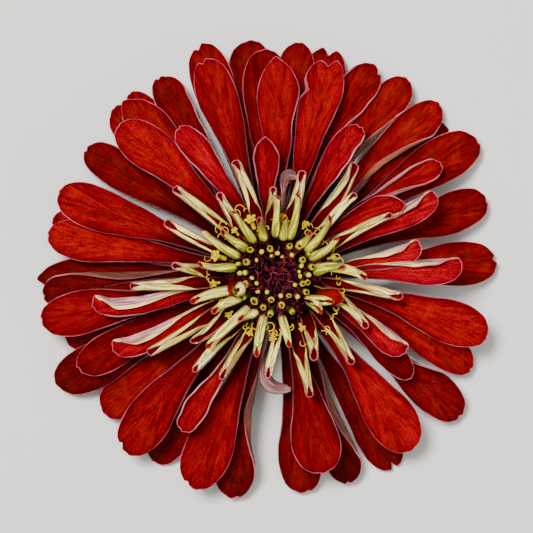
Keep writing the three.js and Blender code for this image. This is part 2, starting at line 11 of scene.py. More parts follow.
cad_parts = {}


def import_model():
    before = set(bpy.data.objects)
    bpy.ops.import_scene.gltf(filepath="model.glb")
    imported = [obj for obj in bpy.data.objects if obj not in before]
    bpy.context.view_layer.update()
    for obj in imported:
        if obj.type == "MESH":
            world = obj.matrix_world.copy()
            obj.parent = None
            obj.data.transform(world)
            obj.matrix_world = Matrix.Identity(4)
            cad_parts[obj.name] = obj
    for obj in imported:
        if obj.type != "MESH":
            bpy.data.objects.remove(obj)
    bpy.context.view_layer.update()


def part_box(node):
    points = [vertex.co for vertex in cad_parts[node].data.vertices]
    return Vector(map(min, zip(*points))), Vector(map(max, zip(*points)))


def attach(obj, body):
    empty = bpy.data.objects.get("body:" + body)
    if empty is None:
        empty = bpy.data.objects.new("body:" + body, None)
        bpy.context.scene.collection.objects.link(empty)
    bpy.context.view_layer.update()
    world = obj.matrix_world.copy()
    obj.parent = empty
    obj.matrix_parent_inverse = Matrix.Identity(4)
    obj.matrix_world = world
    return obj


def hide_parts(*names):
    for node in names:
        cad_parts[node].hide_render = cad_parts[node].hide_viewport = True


bl_info = {
    "name": "Zinnia flower head",
    "version": (1, 0, 0),
    "blender": (4, 5, 0),
    "location": "View3D > Sidebar > Zinnia",
    "description": "Builds a zinnia head from its rays, florets, disc, bracts and stub",
    "category": "Add Mesh",
}

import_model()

MM = 0.001
STALK_LOW, STALK_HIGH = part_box("stalk")
HEAD = (STALK_LOW + STALK_HIGH) / 2 / MM  # the disc's middle, in mm
GOLDEN_ANGLE = 137.508  # degrees
FULL_TURN = 6.283  # radians

# ---- The rays ----

ROOT_DEPTH = 0.8  # how far a ray's foot reaches into its collar
CUP = 14  # degrees that a broad ray's margins turn up
CLAW_FOLD = 65  # degrees that they turn up at its narrow foot
TILT_RANGE = 8  # degrees from the broad ray that tilts most one way to the one that tilts most the other
POINT_CURVE = 2.4  # how full a pointed tip is
FLAP_FROM = 85  # degrees of fold from which a margin lies down over the blade as a flap
FLAP_MOST = 150  # degrees: a flap stays a little off the blade under it
QUILL_SLIMMING = 0.8  # a quill's blade is that much narrower than the solid that stands in for it
LOW_TIP = 6  # height below which a ray's tip lies low and may only be lifted
WIDE_MOUTH = 140  # degrees of fold below which a quill's mouth is wide open
CREAMY_QUILLS = (185, 355)  # azimuths between which quills are creamier
SMOOTH_BELOW = math.radians(50)  # edges of more than this stay sharp
BLADES_SMOOTH_BELOW = math.radians(60)

ROUND = 0
POINTED = 1
NOTCHED = 2
BLUNT = 3
TIP_LENGTH = (0.2, 0.26, 0.2, 0.2)  # share of a ray that its tip takes up, by tip form
TIP_KEEPS = (0.74, 0.5, 0.8, 0.75)  # share of the width that a blade's last row keeps, by tip form

# Each whorl: collar radius, the height and slope its rays leave at, where its folds open, half the
# width of its foot, how much the half width swells a quarter of the way along, its blades' grid (faces
# across and rows of points along them) and the place in the row of draws that its first ray takes.
BACK = {"collar": 10.0, "height": 11.8, "slope": 2, "opens": (0.5, 0.85), "foot": 1.1, "belly": 0,
        "grid": (20, 42), "first": 0}
OUTER = {**BACK, "height": 12.4, "slope": 9, "grid": (30, 46), "first": 9}
MIDDLE = {**BACK, "collar": 9.4, "height": 13.9, "slope": 16, "opens": (0.6, 0.95), "grid": (30, 56),
          "first": 3}
FOLDED = {**BACK, "collar": 9.2, "height": 15.4, "slope": 24, "opens": (0.95, 1.1), "grid": (36, 50),
          "first": 5}
ROLLED = {**FOLDED, "collar": 9.0, "height": 16.9, "slope": 32, "grid": (40, 40), "first": 0}
QUILL = {**ROLLED, "collar": 8.6, "height": 20.0, "slope": 48, "foot": 1.3, "belly": 1.5, "grid": (40, 36)}
OPEN_QUILL = {**QUILL, "belly": 0.3, "opens": (0.7, 1.0), "grid": (24, 34)}
TUBE_GRID = (36, 34)


def rays(usual, rows):
    """A whorl's rays. A row without folds and tip form has the whorl's usual ones."""
    return [row if len(row) == 8 else row + usual for row in rows]


# Each ray: tip azimuth, swing of its root, reach from the disc's middle, width laid flat, tip height,
# folds of its clockwise and anticlockwise margins in degrees, tip form.
BACK_RAYS = rays((15, 15, ROUND), [
    (41, 1, 45.6, 7.0, 0.35),
    (76.5, 0, 47.0, 8.8, 0.35, 15, 15, NOTCHED),
    (84, 1, 46.8, 7.8, 1.6),
    (128.5, 0, 46.6, 6.6, 0.35),
    (134, 0, 46.4, 7.6, 1.4),
    (165.5, 0, 45.8, 7.0, 0.35),
    (196.5, 3, 43.6, 7.0, 0.6),
    (237, 0, 44.2, 8.0, 0.35),
    (302, 0, 45.2, 8.2, 0.35, 15, 15, NOTCHED),
])
OUTER_RAYS = rays((15, 15, ROUND), [
    (4, 0, 44.2, 8.8, 2.4, 15, 15, NOTCHED),
    (19.8, 2, 44.8, 8.2, 2.8),
    (33.8, 5, 48.6, 9.0, 2.6),
    (46, 6, 47.4, 7.6, 3.4, 130, 15, ROUND),
    (56, 4, 47.2, 7.8, 2.8, 132, 15, ROUND),
    (64.5, 10, 46.2, 7.8, 3.6, 125, 15, NOTCHED),
    (92, 2, 45.0, 9.0, 5.4),
    (96, 5, 47.2, 9.0, 2.2),
    (107.8, 1, 48.4, 8.4, 2.4, 15, 15, NOTCHED),
    (120, -1, 45.8, 7.4, 3.0, 100, 15, ROUND),
    (130.5, -1, 46.0, 8.6, 5.6, 15, 15, POINTED),
    (146, -3, 45.2, 7.6, 3.2),
    (180.5, -4, 47.3, 6.6, 2.4, 15, 15, POINTED),
    (185, -9, 46.0, 8.2, 4.2, 138, 15, ROUND),
    (197.5, -4, 34, 5.8, 7.0),
    (206.1, -1, 48.4, 9.2, 2.6),
    (218.5, -2, 43.4, 8.6, 4.0),
    (259, -1, 44.8, 8.4, 3.0, 15, 140, NOTCHED),
    (277.5, 1, 43.4, 8.4, 2.6, 15, 15, NOTCHED),
    (289.5, 7, 43.6, 7.8, 3.2, 15, 140, ROUND),
    (323, 4, 46.2, 8.4, 2.8, 15, 80, ROUND),
    (335, 9, 43.2, 7.4, 3.8, 15, 15, BLUNT),
])
MIDDLE_RAYS = rays((15, 15, ROUND), [
    (34, 9, 39.2, 5.4, 13.5, 125, 120, ROUND),
    (75.6, 0, 44.2, 8.2, 10.5, 15, 15, NOTCHED),
    (89.3, -1, 43.0, 8.5, 12, 70, 15, POINTED),
    (107.8, -2, 44.8, 7.9, 10.5),
    (136, -7, 42.6, 8.6, 11),
    (159, -2, 45.4, 8.6, 10.5),
    (169.8, -3, 45.4, 8.2, 9.2),
    (190.7, 1, 46.6, 8.6, 10.5),
    (205.6, -7, 42.4, 7.4, 10.5),
    (230, -6, 45.2, 9.0, 10, 15, 15, NOTCHED),
    (248.6, 1, 44.4, 9.4, 10.5, 15, 15, NOTCHED),
    (283.7, 2, 39.4, 9.6, 12),
    (308, 5, 43.2, 9.6, 11),
    (323.5, 9, 33.0, 5.2, 14),
    (344.7, 6, 43.2, 8.6, 11),
])
FOLDED_RAYS = [
    (3, 1, 36.2, 6.4, 19, 20, 125, ROUND),
    (12, -7, 28.8, 5.4, 20.5, 20, 130, ROUND),
    (26.5, -1, 35.0, 5.8, 18.5, 20, 130, ROUND),
    (29, 12, 28.6, 5.8, 21.5, 115, 25, POINTED),
    (60.5, 6, 33.4, 5.8, 19, 100, 20, ROUND),
    (94.5, 2, 27.0, 5.4, 20.5, 35, 35, POINTED),
    (123.5, -10, 34.2, 5.8, 18.5, 45, 45, ROUND),
    (188, 5, 35.6, 6.4, 18.5, 160, 30, ROUND),
    (203.8, 1, 34.2, 6.4, 19, 150, 20, ROUND),
    (238.7, 3, 34.6, 6.2, 18.5, 75, 75, BLUNT),
    (329.6, 9, 29.0, 6.0, 20, 20, 132, ROUND),
]
ROLLED_RAYS = rays((150, 150, BLUNT), [
    (28, 0, 25.4, 4.2, 22.5, 150, 150, POINTED),
    (45.5, -4, 22.2, 4.4, 22.5),
    (55, -4, 26.6, 5.2, 22, 120, 150, BLUNT),
    (75.5, 1, 21, 4.6, 23.5),
    (91, 6, 17.2, 4.4, 23.5),
    (109.5, -2, 23.6, 5.2, 22.5),
    (124, 5, 19.4, 4.4, 23.5),
    (139, -4, 25.8, 5.2, 22),
    (153.5, 3, 23.6, 5.0, 22.5),
    (173, 0, 19.8, 4.6, 23.5),
    (183.5, -1, 27.8, 5.4, 21.5),
    (210.8, -2, 28.4, 5.2, 21.5),
    (217.5, -3, 20.4, 4.8, 23.5, 120, 120, POINTED),
    (229.2, 5, 24, 4.8, 22, 150, 150, POINTED),
    (241.8, 7, 22.2, 4.8, 22.5, 150, 150, POINTED),
    (265.8, 11, 19.4, 5.2, 23, 150, 150, POINTED),
    (286.4, 6, 24, 4.9, 22),
    (294.8, 17, 17.6, 4.9, 23.5),
    (311.8, 13, 22.4, 4.9, 22.5),
    (331, 18, 20.2, 4.9, 23),
    (351, 2, 24.8, 5.2, 22),
])
QUILL_RAYS = rays((150, 150, BLUNT), [
    (359, 13, 17.4, 4.6, 25.3),
    (8, -2, 13.4, 3.4, 27.4),
    (33, -5, 14.2, 3.8, 26.5),
    (48, -8, 15.8, 3.8, 27.5),
    (52.5, -1, 11.0, 3.3, 25.5),
    (75, -6, 16.6, 3.6, 27.5),
    (81, -3, 11.8, 3.4, 26.5),
    (88, 1, 15.6, 3.5, 27.5),
    (105, 1, 11.8, 3.5, 26.5),
    (122.5, -2, 15.2, 3.6, 27.0),
    (139, -3, 13.6, 3.6, 26.5),
    (146.8, 4, 16.8, 3.6, 27.0),
    (170, -3, 15, 3.5, 26.5),
    (193, 0, 10.4, 3.8, 24.5),
    (196.8, 1, 16.8, 3.8, 26.0),
    (210, 2, 13.8, 3.6, 26.5),
    (226, 3, 18.8, 3.8, 25.5),
    (229, 12, 10.8, 3.6, 25.5),
    (257, -1, 15.6, 3.8, 26.5),
    (281.8, -1, 13.6, 3.7, 26.5),
    (321.5, 5, 11.2, 4.0, 25.2, 130, 130, POINTED),
    (337, -13, 12.2, 3.8, 26.0, 130, 130, POINTED),
    (341, -2, 13.8, 3.9, 24.2, 60, 60, POINTED),
])
# Notches: place across the tip from its clockwise margin at -1, depth in mm and half breadth, by azimuth.
NOTCHES = {
    76.5: (-0.05, 2.3, 0.42),
    302: (0.0, 1.8, 0.22),
    4: (0.1, 0.9, 0.22),
    64.5: (-0.45, 0.9, 0.22),
    107.8: (0.2, 0.9, 0.3),
    259: (0.3, 0.6, 0.22),
    277.5: (0.3, 0.6, 0.22),
    75.6: (0.05, 2.0, 0.5),
    230: (-0.5, 0.9, 0.2),
    248.6: (-0.35, 0.7, 0.2),
}
# Tones of rays that are darker or brighter than others, by azimuth, partly their own tone and partly
# painted shade and painted light; the others' are from 0 to 1.
RAY_TONES_AND_SHADE = {205.6: -0.5, 206.1: -0.7, 197.5: -0.9, 289.5: -1.1, 146: -0.4, 96: -0.4, 92: -0.2, 185: -0.6,
             180.5: -0.6, 259: -0.5, 323.5: -0.8, 120: -0.4, 19.8: 0.1, 237: -0.3, 302: -0.4, 41: -0.3,
             46: 0.9, 56: 0.6, 33.8: 0.5, 335: 1.3, 4: 0.5, 344.7: 1.1, 308: 1.2, 123.5: 0.9,
             169.8: 1.1, 107.8: 0.3, 323: 0.1, 159: 0.5, 136: 1.0, 89.3: 0.6, 283.7: 0.0}
# How far the tips of three rays that lie over one another are lifted, in mm, by azimuth.
TIP_LIFTS = {46: 0.0, 56: 1.4, 64.5: 2.0}
# How far some rays sag half-way along, in mm, by azimuth, so that the one beside them lies on top.
SAGS = {46: 1.2, 56: 0.6, 169.8: 1.3, 218.5: 0.7, 205.6: 0.8, 248.6: 0.6, 107.8: 0.5, 12: 0.6, 329.6: 0.5}
PALE_BACKS = {3, 12, 26.5, 188, 203.8, 329.6}  # folded rays whose flaps are cream, by azimuth
SCARRED = 75.6  # azimuth of the middle ray with a dent and a pale scar in its anticlockwise margin
SCAR = (0.83, 0.08)  # the scar's place and half length, as shares of that ray's length
DENT = 0.95  # how deep the scar's dent is, in mm
SEAM_UP = {196.8, 210, 226, 257, 281.8, 321.5, 337, 359}  # quills whose seam faces up, by azimuth
HOOKED = 193  # azimuth of the quill that is bent round on itself
HOOK_HALF = 0.75  # half its width in mm
# Places and heights along it in mm, and how far it leans outwards there in degrees.
HOOK_PATH = [(-6.6, -0.3, 21.4), (-8.3, -1.1, 23.6), (-8.6, -2.8, 24.4), (-7.3, -3.7, 24.6),
             (-6.1, -2.6, 24.7), (-6.6, -1.5, 24.8), (-7.6, -1.9, 24.8)]
HOOK_LEANS = (15, 40, 60, 95, 135, 150, 155)

HOOK_GRID = (16, 44)

# The two rays that curl over: their widths, and azimuths, distances and heights along them.
CURLED_WIDTHS = (3.3, 3.9)
CURLED_PATHS = [
    [(82, 8.4, 15.4), (82, 13.5, 18.0), (84.4, 17.4, 19.4), (82.5, 19.6, 20.4), (77.5, 19.4, 20.4)],
    [(270, 8.4, 15.4), (264.5, 14.5, 18.4), (261.5, 18, 18.8), (267, 21.6, 18.6), (278, 21.8, 18.0)],
]
CURLED_GRID = (26, 56)
CURLED_FIRST = 20
CURL_SMOOTHINGS = 60  # rounds of smoothing that ease a curled ray's path

# ---- The disc and what is under the head ----

# Yellow florets: azimuth, distance, height and radius of each star.
FLORETS = [
    (19, 11.8, 21.6, 0.9),
    (60, 11.8, 21.6, 0.9),
    (83, 11.8, 21.6, 0.9),
    (113, 12.0, 21.8, 1.2),
    (131, 11.8, 21.6, 0.9),
    (160, 12.0, 21.8, 1.2),
    (186, 11.8, 21.6, 0.9),
    (219, 11.6, 21.7, 0.9),
    (246, 11.8, 21.6, 0.9),
    (268, 11.8, 21.6, 1.0),
    (298, 11.1, 21.9, 0.9),
    (343, 11.8, 21.6, 0.9),
]
FLORET_ROOT = (8.8, 19.0)  # distance and height of their feet
LARGE_STAR = 1.1  # radius above which a star is as large as its solid
SMALL_STARS = 0.8  # the others' size beside their solids'

# The yellow threads: the ring that they rise from, its inner radius, breadth and height.
THREAD_RING = 9.6
THREAD_BREADTH = 4.6
THREAD_HEIGHT = 22.0
THREAD_RADIUS = 0.1
COIL_POINTS = 10

# The dome of chaff rises above the disc's floor, and the ground lies a little under it and falls outwards.
DISC_FLOOR = 21.45
DOME_RADIUS = 4.3
DOME_HEIGHT = 2.0
GROUND_DEPTH = 0.35
GROUND_FALL = 0.3
GROUND_RADIUS = 8.6
GROUND_THICKNESS = 0.4

# Chaff: shortest length of a shred and how much longer it may be, first further out, then in the middle,
# and how far the middle reaches. The breadth and thickness are those of a shred of unit length.
SHRED_LENGTHS = ((1.3, 1.0), (1.9, 1.5))
LONG_SHREDS_WITHIN = 4.2
SHRED_HALF_BREADTH = 0.043
SHRED_THICKNESS = 0.045

# Profiles of a bud of unit radius and height, from its foot up and into its mouth, and how many
# of their last points are inside the mouth.
KNOB_PROFILE = [(0.50, -0.35), (0.72, -0.05), (0.92, 0.20), (1.0, 0.42), (0.95, 0.62), (0.82, 0.79),
                (0.62, 0.92), (0.44, 1.0), (0.33, 0.98), (0.26, 0.84), (0.20, 0.60)]
OPEN_BUD_PROFILE = [(0.50, -0.35), (0.68, -0.05), (0.86, 0.22), (0.97, 0.46), (1.0, 0.66), (0.93, 0.84),
                    (0.76, 0.96), (0.58, 1.0), (0.45, 0.95), (0.38, 0.80), (0.30, 0.50)]
MOUTH_POINTS = 3
# The disc's buds: place across and up from its middle, and radius before swelling.
BUD_PLACES = [
    (-4.5, 4.8, 0.70), (-2.5, 4.5, 0.52), (-0.7, 5.0, 0.72), (0.5, 4.4, 0.48), (2.6, 5.3, 0.66),
    (3.0, 3.9, 0.48), (4.3, 5.5, 0.72), (1.3, 3.8, 0.36), (-3.4, 3.0, 0.42), (-5.1, 2.8, 0.70),
    (-6.3, 2.4, 0.48), (-5.2, 0.8, 0.52), (-4.3, -0.2, 0.45), (-6.2, 0.6, 0.52), (-5.1, -1.4, 0.72),
    (-3.4, -1.2, 0.44), (-3.2, -2.7, 0.46), (-1.5, -2.8, 0.46), (-3.8, -4.4, 0.82), (-0.7, -4.2, 0.62),
    (-0.6, -6.1, 0.70), (1.1, -3.5, 0.46), (2.6, -3.4, 0.54), (3.9, -3.6, 0.52), (1.2, -5.2, 0.70),
    (4.9, 3.0, 0.64), (4.7, 2.0, 0.52), (4.5, 1.0, 0.36), (6.5, 1.9, 0.70), (5.8, 0.6, 0.52),
    (4.7, 0.1, 0.46), (3.7, -1.5, 0.42), (4.9, -1.2, 0.62), (6.0, -1.0, 0.58), (5.6, -2.6, 0.66),
    (-0.7, 3.9, 0.34), (2.5, -5.9, 0.62), (-2.2, -5.4, 0.60), (6.0, 3.9, 0.62), (-5.2, -3.2, 0.66),
]
BUD_SWELLING = 1.08
OPEN_BUD_FROM = 0.58  # swollen radius above which a bud's mouth is wide open
BUD_HEIGHTS = (1.0, 2.2)  # the lowest buds, nearest the middle, and the highest, at the ring's rim
BUD_RING = (3.5, 6.8)  # distances of those two places

# The cup of bracts: its outside, the closed outline of the wall behind them, and each row's count, foot,
# tip and how far its tips stand off.
CUP_PROFILE = [(5.9, 3.5), (7.6, 4.9), (8.8, 7.6), (9.1, 10.7)]
CUP_WALL = [(5.7, 11.0), (5.7, 3.9), (5.9, 3.6), (7.5, 4.95), (8.7, 7.6), (9.0, 11.0)]
BRACT_ROWS = [(8, 4.1, 7.2, 0.5), (8, 5.8, 9.1, 0.6), (9, 7.4, 10.7, 0.6)]
BRACT_WIDTH = 5.2
BRACT_THICKNESS = 0.45
BRACT_GRID = (16, 22)

# Collars of packed floret bases: bottom, top, radius.
COLLARS = [
    (11.2, 13.0, 10.0),
    (13.4, 14.6, 9.4),
    (14.9, 16.2, 9.2),
    (16.5, 18.3, 9.0),
    (18.75, 19.25, 9.2),
    (19.6, 21.1, 8.6),
]
CONE_RADIUS = 5.4
BASES_APART = 1.9
BASE_HALF_BREADTH = 0.95

# Distances and heights up the stub and the receptacle, from the middle of the cut.
STUB_PROFILE = [(0.0, 0.12), (1.1, 0.1), (1.9, 0.05), (2.4, 0.0), (2.56, 0.05), (2.6, 0.2), (2.6, 1.4),
                (2.62, 2.4), (3.1, 3.0), (4.3, 3.7), (5.3, 4.4), (5.4, 5.5), (5.4, 10.3), (4.6, 20.6),
                (0.0, 20.6)]
STUB_TOP = 3.6  # height up to which it is ribbed
STUB_RIBS = 12

# ---- The stage, in metres ----

VIEW_WIDTH = 0.1066  # what the camera sees of the surface from side to side
VIEW_MIDDLE = (0.00008, 0.0005)  # the place that the camera is above
SENSOR = 36  # millimetres
# Each light's place, width and power in watts.
LIGHTS = {
    "key": ((-0.17, 0.17, 0.78), 0.2, 11.2),
    "fill": ((0.50, -0.40, 0.55), 0.6, 2.2),
    "top": ((0.0, 0.05, 0.9), 0.5, 3.5),
}
AMBIENT = 0.10


# ---- Settings shown in the sidebar ----


def length_setting(name, description, metres):
    return FloatProperty(name=name, description=description, default=metres, unit="LENGTH")


def count_setting(name, description, count):
    return IntProperty(name=name, description=description, default=count)


def colour_setting(name, description, rgb):
    return FloatVectorProperty(
        name=name, description=description, default=rgb, subtype="COLOR_GAMMA", size=3
    )


class ZinniaSizes(bpy.types.PropertyGroup):
    blade: length_setting("Blade thickness", "Thickness of a ray's blade", 0.00026)
    ripple: length_setting("Ripple", "Height of the long shallow folds in a broad ray", 0.00016)
    wave: length_setting("Margin wave", "How far a broad ray's margins wave up and down", 0.0004)
    shreds: count_setting("Chaff shreds", "Number of thin dark shreds in the middle of the disc", 540)
    threads: count_setting("Yellow threads", "Number of curled yellow styles among the rays", 64)
    camera_height: length_setting("Camera height", "Height of the camera above the surface", 0.5)


class ZinniaColours(bpy.types.PropertyGroup):
    scarlet: colour_setting("Scarlet", "Bright middle rays", (0.53, 0.0, 0.04))
    russet: colour_setting("Russet", "Backmost rays", (0.485, 0.0, 0.02))
    crimson: colour_setting("Crimson", "Folded rays", (0.58, 0.0, 0.07))
    cream: colour_setting("Cream", "Outsides of the rolled rays", (1.0, 0.94, 0.54))
    lavender: colour_setting("Lavender", "Undersides of the red rays", (0.76, 0.50, 0.53))
    pale_green: colour_setting("Pale green", "Quills and buds", (1.0, 0.98, 0.28))
    yellow: colour_setting("Yellow", "Star florets and threads", (0.88, 0.74, 0.0))
    maroon: colour_setting("Maroon", "Chaff of the disc", (0.27, 0.04, 0.09))
    green: colour_setting("Green", "Bracts and stub", (0.38, 0.50, 0.18))
    floor: colour_setting("Floor", "Surface that the head lies on", (0.88, 0.87, 0.85))


# ---- Helpers ----


def linear(rgb):
    """A colour as seen on screen, as the shader's own values."""
    return tuple(c / 12.92 if c <= 0.04045 else ((c + 0.055) / 1.055) ** 2.4 for c in rgb) + (1.0,)


def chosen(name):
    """A colour from the sidebar's settings."""
    return tuple(getattr(bpy.context.scene.zinnia_colours, name))


def shade(rgb, factor):
    return tuple(min(1.0, c * factor) for c in rgb)


def blend(a, b, share):
    return tuple(p + (q - p) * share for p, q in zip(a, b))


def smooth_step(value, low, high):
    t = np.clip((value - low) / (high - low), 0, 1)
    return t * t * (3 - 2 * t)


def spread(place):
    """A value from 0 to 1 that differs from one place in a row to the next."""
    return (place * 0.618034) % 1


def polar(azimuth, distance, height):
    """A point by azimuth in degrees, distance and height in mm, from the disc's axis."""
    turn = math.radians(azimuth)
    return Vector((distance * math.cos(turn), distance * math.sin(turn), height))


def world(point):
    """A point about the disc's axis in mm, as a place in the row's frame in metres."""
    return Vector((point[0] + HEAD.x, point[1] + HEAD.y, point[2])) * MM


def clear_selection():
    if bpy.context.object and bpy.context.object.mode != "OBJECT":
        bpy.ops.object.mode_set(mode="OBJECT")
    bpy.ops.object.select_all(action="DESELECT")


def select(pieces):
    clear_selection()
    for piece in pieces:
        piece.select_set(True)
    bpy.context.view_layer.objects.active = pieces[0]


def joined(pieces, name):
    select(pieces)
    if len(pieces) > 1:
        bpy.ops.object.join()
    piece = bpy.context.object
    piece.name = name
    piece.data.name = name
    return piece


def apply_modifier(piece, kind, **values):
    select([piece])
    bpy.ops.object.modifier_add(type=kind)
    modifier = piece.modifiers[-1]
    for key, value in values.items():
        setattr(modifier, key, value)
    bpy.ops.object.modifier_apply(modifier=modifier.name)


def give_materials(piece, materials):
    piece.data.materials.clear()
    for material in materials:
        piece.data.materials.append(material)


def settled(piece, materials):
    """Puts a piece's place into its mesh, smooths it and gives it its materials."""
    select([piece])
    bpy.ops.object.transform_apply(location=True, rotation=True, scale=True)
    bpy.ops.object.shade_smooth_by_angle(angle=SMOOTH_BELOW)
    give_materials(piece, materials)
    return piece


def in_edit_mode(piece, change):
    """Changes all of a piece's mesh in edit mode."""
    select([piece])
    bpy.ops.object.mode_set(mode="EDIT")
    bpy.ops.mesh.select_all(action="SELECT")
    change()
    bpy.ops.object.mode_set(mode="OBJECT")


def turned_grid(sides, rows, place):
    """A grid wound round an axis: place(turn, share) is where its points go, in metres or unit sizes."""
    bpy.ops.mesh.primitive_grid_add(x_subdivisions=sides, y_subdivisions=rows, size=2)
    piece = bpy.context.object
    for vertex in piece.data.vertices:
        vertex.co = place(vertex.co.x * math.pi, (vertex.co.y + 1) / 2)
    return piece


def copy_at(model, place, turn, size):
    """A copy of a model with its own mesh, at a place in mm, turned and scaled by three sizes."""
    copy = model.copy()
    copy.data = model.data.copy()
    matrix = Matrix.Translation(world(place)) @ turn.to_matrix().to_4x4() @ Matrix.Diagonal((*size, 1))
    copy.data.transform(matrix)
    bpy.context.collection.objects.link(copy)
    return copy


def remove(piece):
    mesh = piece.data
    bpy.data.objects.remove(piece)
    bpy.data.meshes.remove(mesh)


def finish_piece(piece, nodes):
    """Says what a finished piece rides on and which nodes it replaces."""
    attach(piece, "root")
    if nodes:
        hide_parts(*nodes)


def write_values(mesh, name, values):
    """Stores three numbers a vertex for the materials."""
    stored = mesh.attributes.new(name, "FLOAT_VECTOR", "POINT")
    stored.data.foreach_set("vector", np.asarray(values, dtype=np.float32).ravel())


def place_vertices(piece, places):
    """Puts a grid's vertices at places in mm about the disc's axis."""
    places = places + np.array([HEAD.x, HEAD.y, 0])
    piece.data.vertices.foreach_set("co", (places * MM).ravel())


# ---- Blades ----


def half_section(half, turns):
    """Places across and up of one half of a cross-section, out from its midrib."""
    step = half / (len(turns) - 1)
    middle = (turns[1:] + turns[:-1]) / 2
    x = np.concatenate([[0], np.cumsum(np.cos(middle)) * step])
    y = np.concatenate([[0], np.cumsum(np.sin(middle)) * step])
    return x, y


def whole_section(half, skew, turns):
    """Places across and up, and turns, of a cross-section whose midrib may be off its middle."""
    clockwise, anticlockwise = turns
    cx, cy = half_section(half * (1 + skew), clockwise)
    ax, ay = half_section(half * (1 - skew), anticlockwise)
    x = np.concatenate([-cx[:0:-1], ax])
    y = np.concatenate([cy[:0:-1], ay])
    return x, y, np.concatenate([-clockwise[:0:-1], anticlockwise])


def path_axes(points, tilt):
    """For points along a blade: the way along it, to its anticlockwise side, and up."""
    along = np.gradient(points, axis=0)
    along /= np.linalg.norm(along, axis=1)[:, None]
    level = np.stack([-along[:, 1], along[:, 0], np.zeros(len(along))], axis=1)
    level /= np.linalg.norm(level, axis=1)[:, None]
    tilt = np.broadcast_to(tilt, len(points))[:, None]
    side = level * np.cos(tilt) + np.cross(along, level) * np.sin(tilt)
    return along, side, np.cross(along, side)


def blade_grid(name, across, stations):
    bpy.ops.mesh.primitive_grid_add(x_subdivisions=across, y_subdivisions=stations - 1, size=2)
    blade = bpy.context.object
    blade.name = name
    return blade


def laid_blade(name, points, half, shape, grid, tone):
    """One blade: a grid laid along points and bent across at each of them.

    The shape gives the turns of both halves, the lift of the surface and its set-back at the tip, and
    optionally the blade's tilt and skew, the spin of its section, and a scar and a dent in its margin.
    """
    across, stations = grid
    blade = blade_grid(name, across, stations)
    along, side, up = path_axes(points, shape.get("tilt", 0))
    run = np.concatenate([[0], np.cumsum(np.linalg.norm(np.diff(points, axis=0), axis=1))])
    narrowing = 1 / np.sqrt(1 + np.gradient(half, run) ** 2)
    s = run / run[-1]
    u = np.linspace(-1, 1, across + 1)
    v = np.linspace(0, 1, across // 2 + 1)
    end = shape["end"](u)
    at_end = smooth_step(s, 0.55, 1)
    skew = shape.get("skew", 0)
    places = np.zeros((stations, across + 1, 3))
    lay = np.zeros_like(places)
    petal = np.zeros_like(places)
    for i in range(stations):
        x, y, turn = whole_section(half[i], skew, shape["turns"](s[i], half[i], v))
        lift = shape["lift"](u, s[i])
        x = x - np.sin(turn) * lift
        y = y + np.cos(turn) * lift
        if "spin" in shape:
            angle = shape["spin"] * (0.6 + 0.4 * s[i])
            cx, cy = x.mean(), y.mean()
            x, y = (
                cx + (x - cx) * math.cos(angle) - (y - cy) * math.sin(angle),
                cy + (x - cx) * math.sin(angle) + (y - cy) * math.cos(angle),
            )
        if "dent" in shape:
            x = x - shape["dent"](u, s[i])
        back = end * at_end[i]
        places[i] = points[i] + x[:, None] * side[i] + y[:, None] * up[i] - back[:, None] * along[i]
        widths = half[i] * np.where(u < 0, 1 + skew, 1 - skew)
        ahead = run[-1] - run[i] - end * (1 - at_end[i])
        edge = np.minimum(widths * (1 - np.abs(u)) * narrowing[i], np.maximum(0, ahead))
        if "scar" in shape:
            edge = edge * shape["scar"](u, s[i])
        lay[i] = np.stack([u * widths, run[i] - back, 0 * u + 31 * tone], axis=1)
        petal[i] = np.stack([edge, 0 * u + s[i], 0 * u + tone], axis=1)
    place_vertices(blade, places)
    write_values(blade.data, "lay", lay)
    write_values(blade.data, "petal", petal)
    return blade


def stations_along(count, crowding):
    """Shares of a ray's length, closer together towards its tip."""
    return 1 - (1 - np.linspace(0, 1, count)) ** crowding


def ray_path(ray, whorl, s, bow=0, lift=0):
    """Points along a ray's midrib, bowed sideways in degrees and lifted at the tip in mm."""
    azimuth, swing, reach, _, tip_height, _, _, _ = ray
    root = whorl["collar"] - ROOT_DEPTH
    rise = math.tan(math.radians(whorl["slope"])) * (reach - root)
    height = whorl["height"] + rise * s + (tip_height - whorl["height"] - rise) * s * s
    height = height + lift * smooth_step(s, 0.6, 1.0) * s - SAGS.get(azimuth, 0) * np.sin(math.pi * s)
    turn = np.radians(azimuth + swing * (1 - s) + bow * np.sin(math.pi * s))
    distance = root + (reach - root) * s
    return np.stack([distance * np.cos(turn), distance * np.sin(turn), height], axis=1)


def body_half(s, width, whorl):
    """Half width of a ray along it, before its tip narrows it."""
    body = whorl["foot"] + (width / 2 - whorl["foot"]) * smooth_step(s, 0.14, 0.84)
    return body + whorl["belly"] * np.sin(math.pi * np.sqrt(s))


def tip_length(tip, run, width):
    """How much of a ray's length its tip takes up: a short ray's point is as long as others'."""
    return max(TIP_LENGTH[tip] * run, 0.8 * width if tip == POINTED else 0)


def tip_outline(azimuth, tip, length, place):
    """Set-back of a broad blade's last row in mm, as a function of the place across it."""
    keeps = TIP_KEEPS[tip]
    off = 0.3 * (spread(place * 3 + 1) - 0.5)
    at, depth, breadth = NOTCHES.get(azimuth, (off, 0.35 * (spread(place * 5) > 0.45), 0.2))

    def end(u):
        w = np.abs(u - off * (1 - u * u))
        nick = 0.12 * np.sin(11 * u + 7 * place) * (1 - w)
        if tip == POINTED:
            return 0.3 * length * w**1.3 + 0.5 * nick
        notch = depth * np.clip(1 - np.abs(u - at) / breadth, 0, 1) ** 1.3
        return length * (1 - np.sqrt(np.maximum(0, 1 - (keeps * w) ** 2))) + nick + notch

    return end


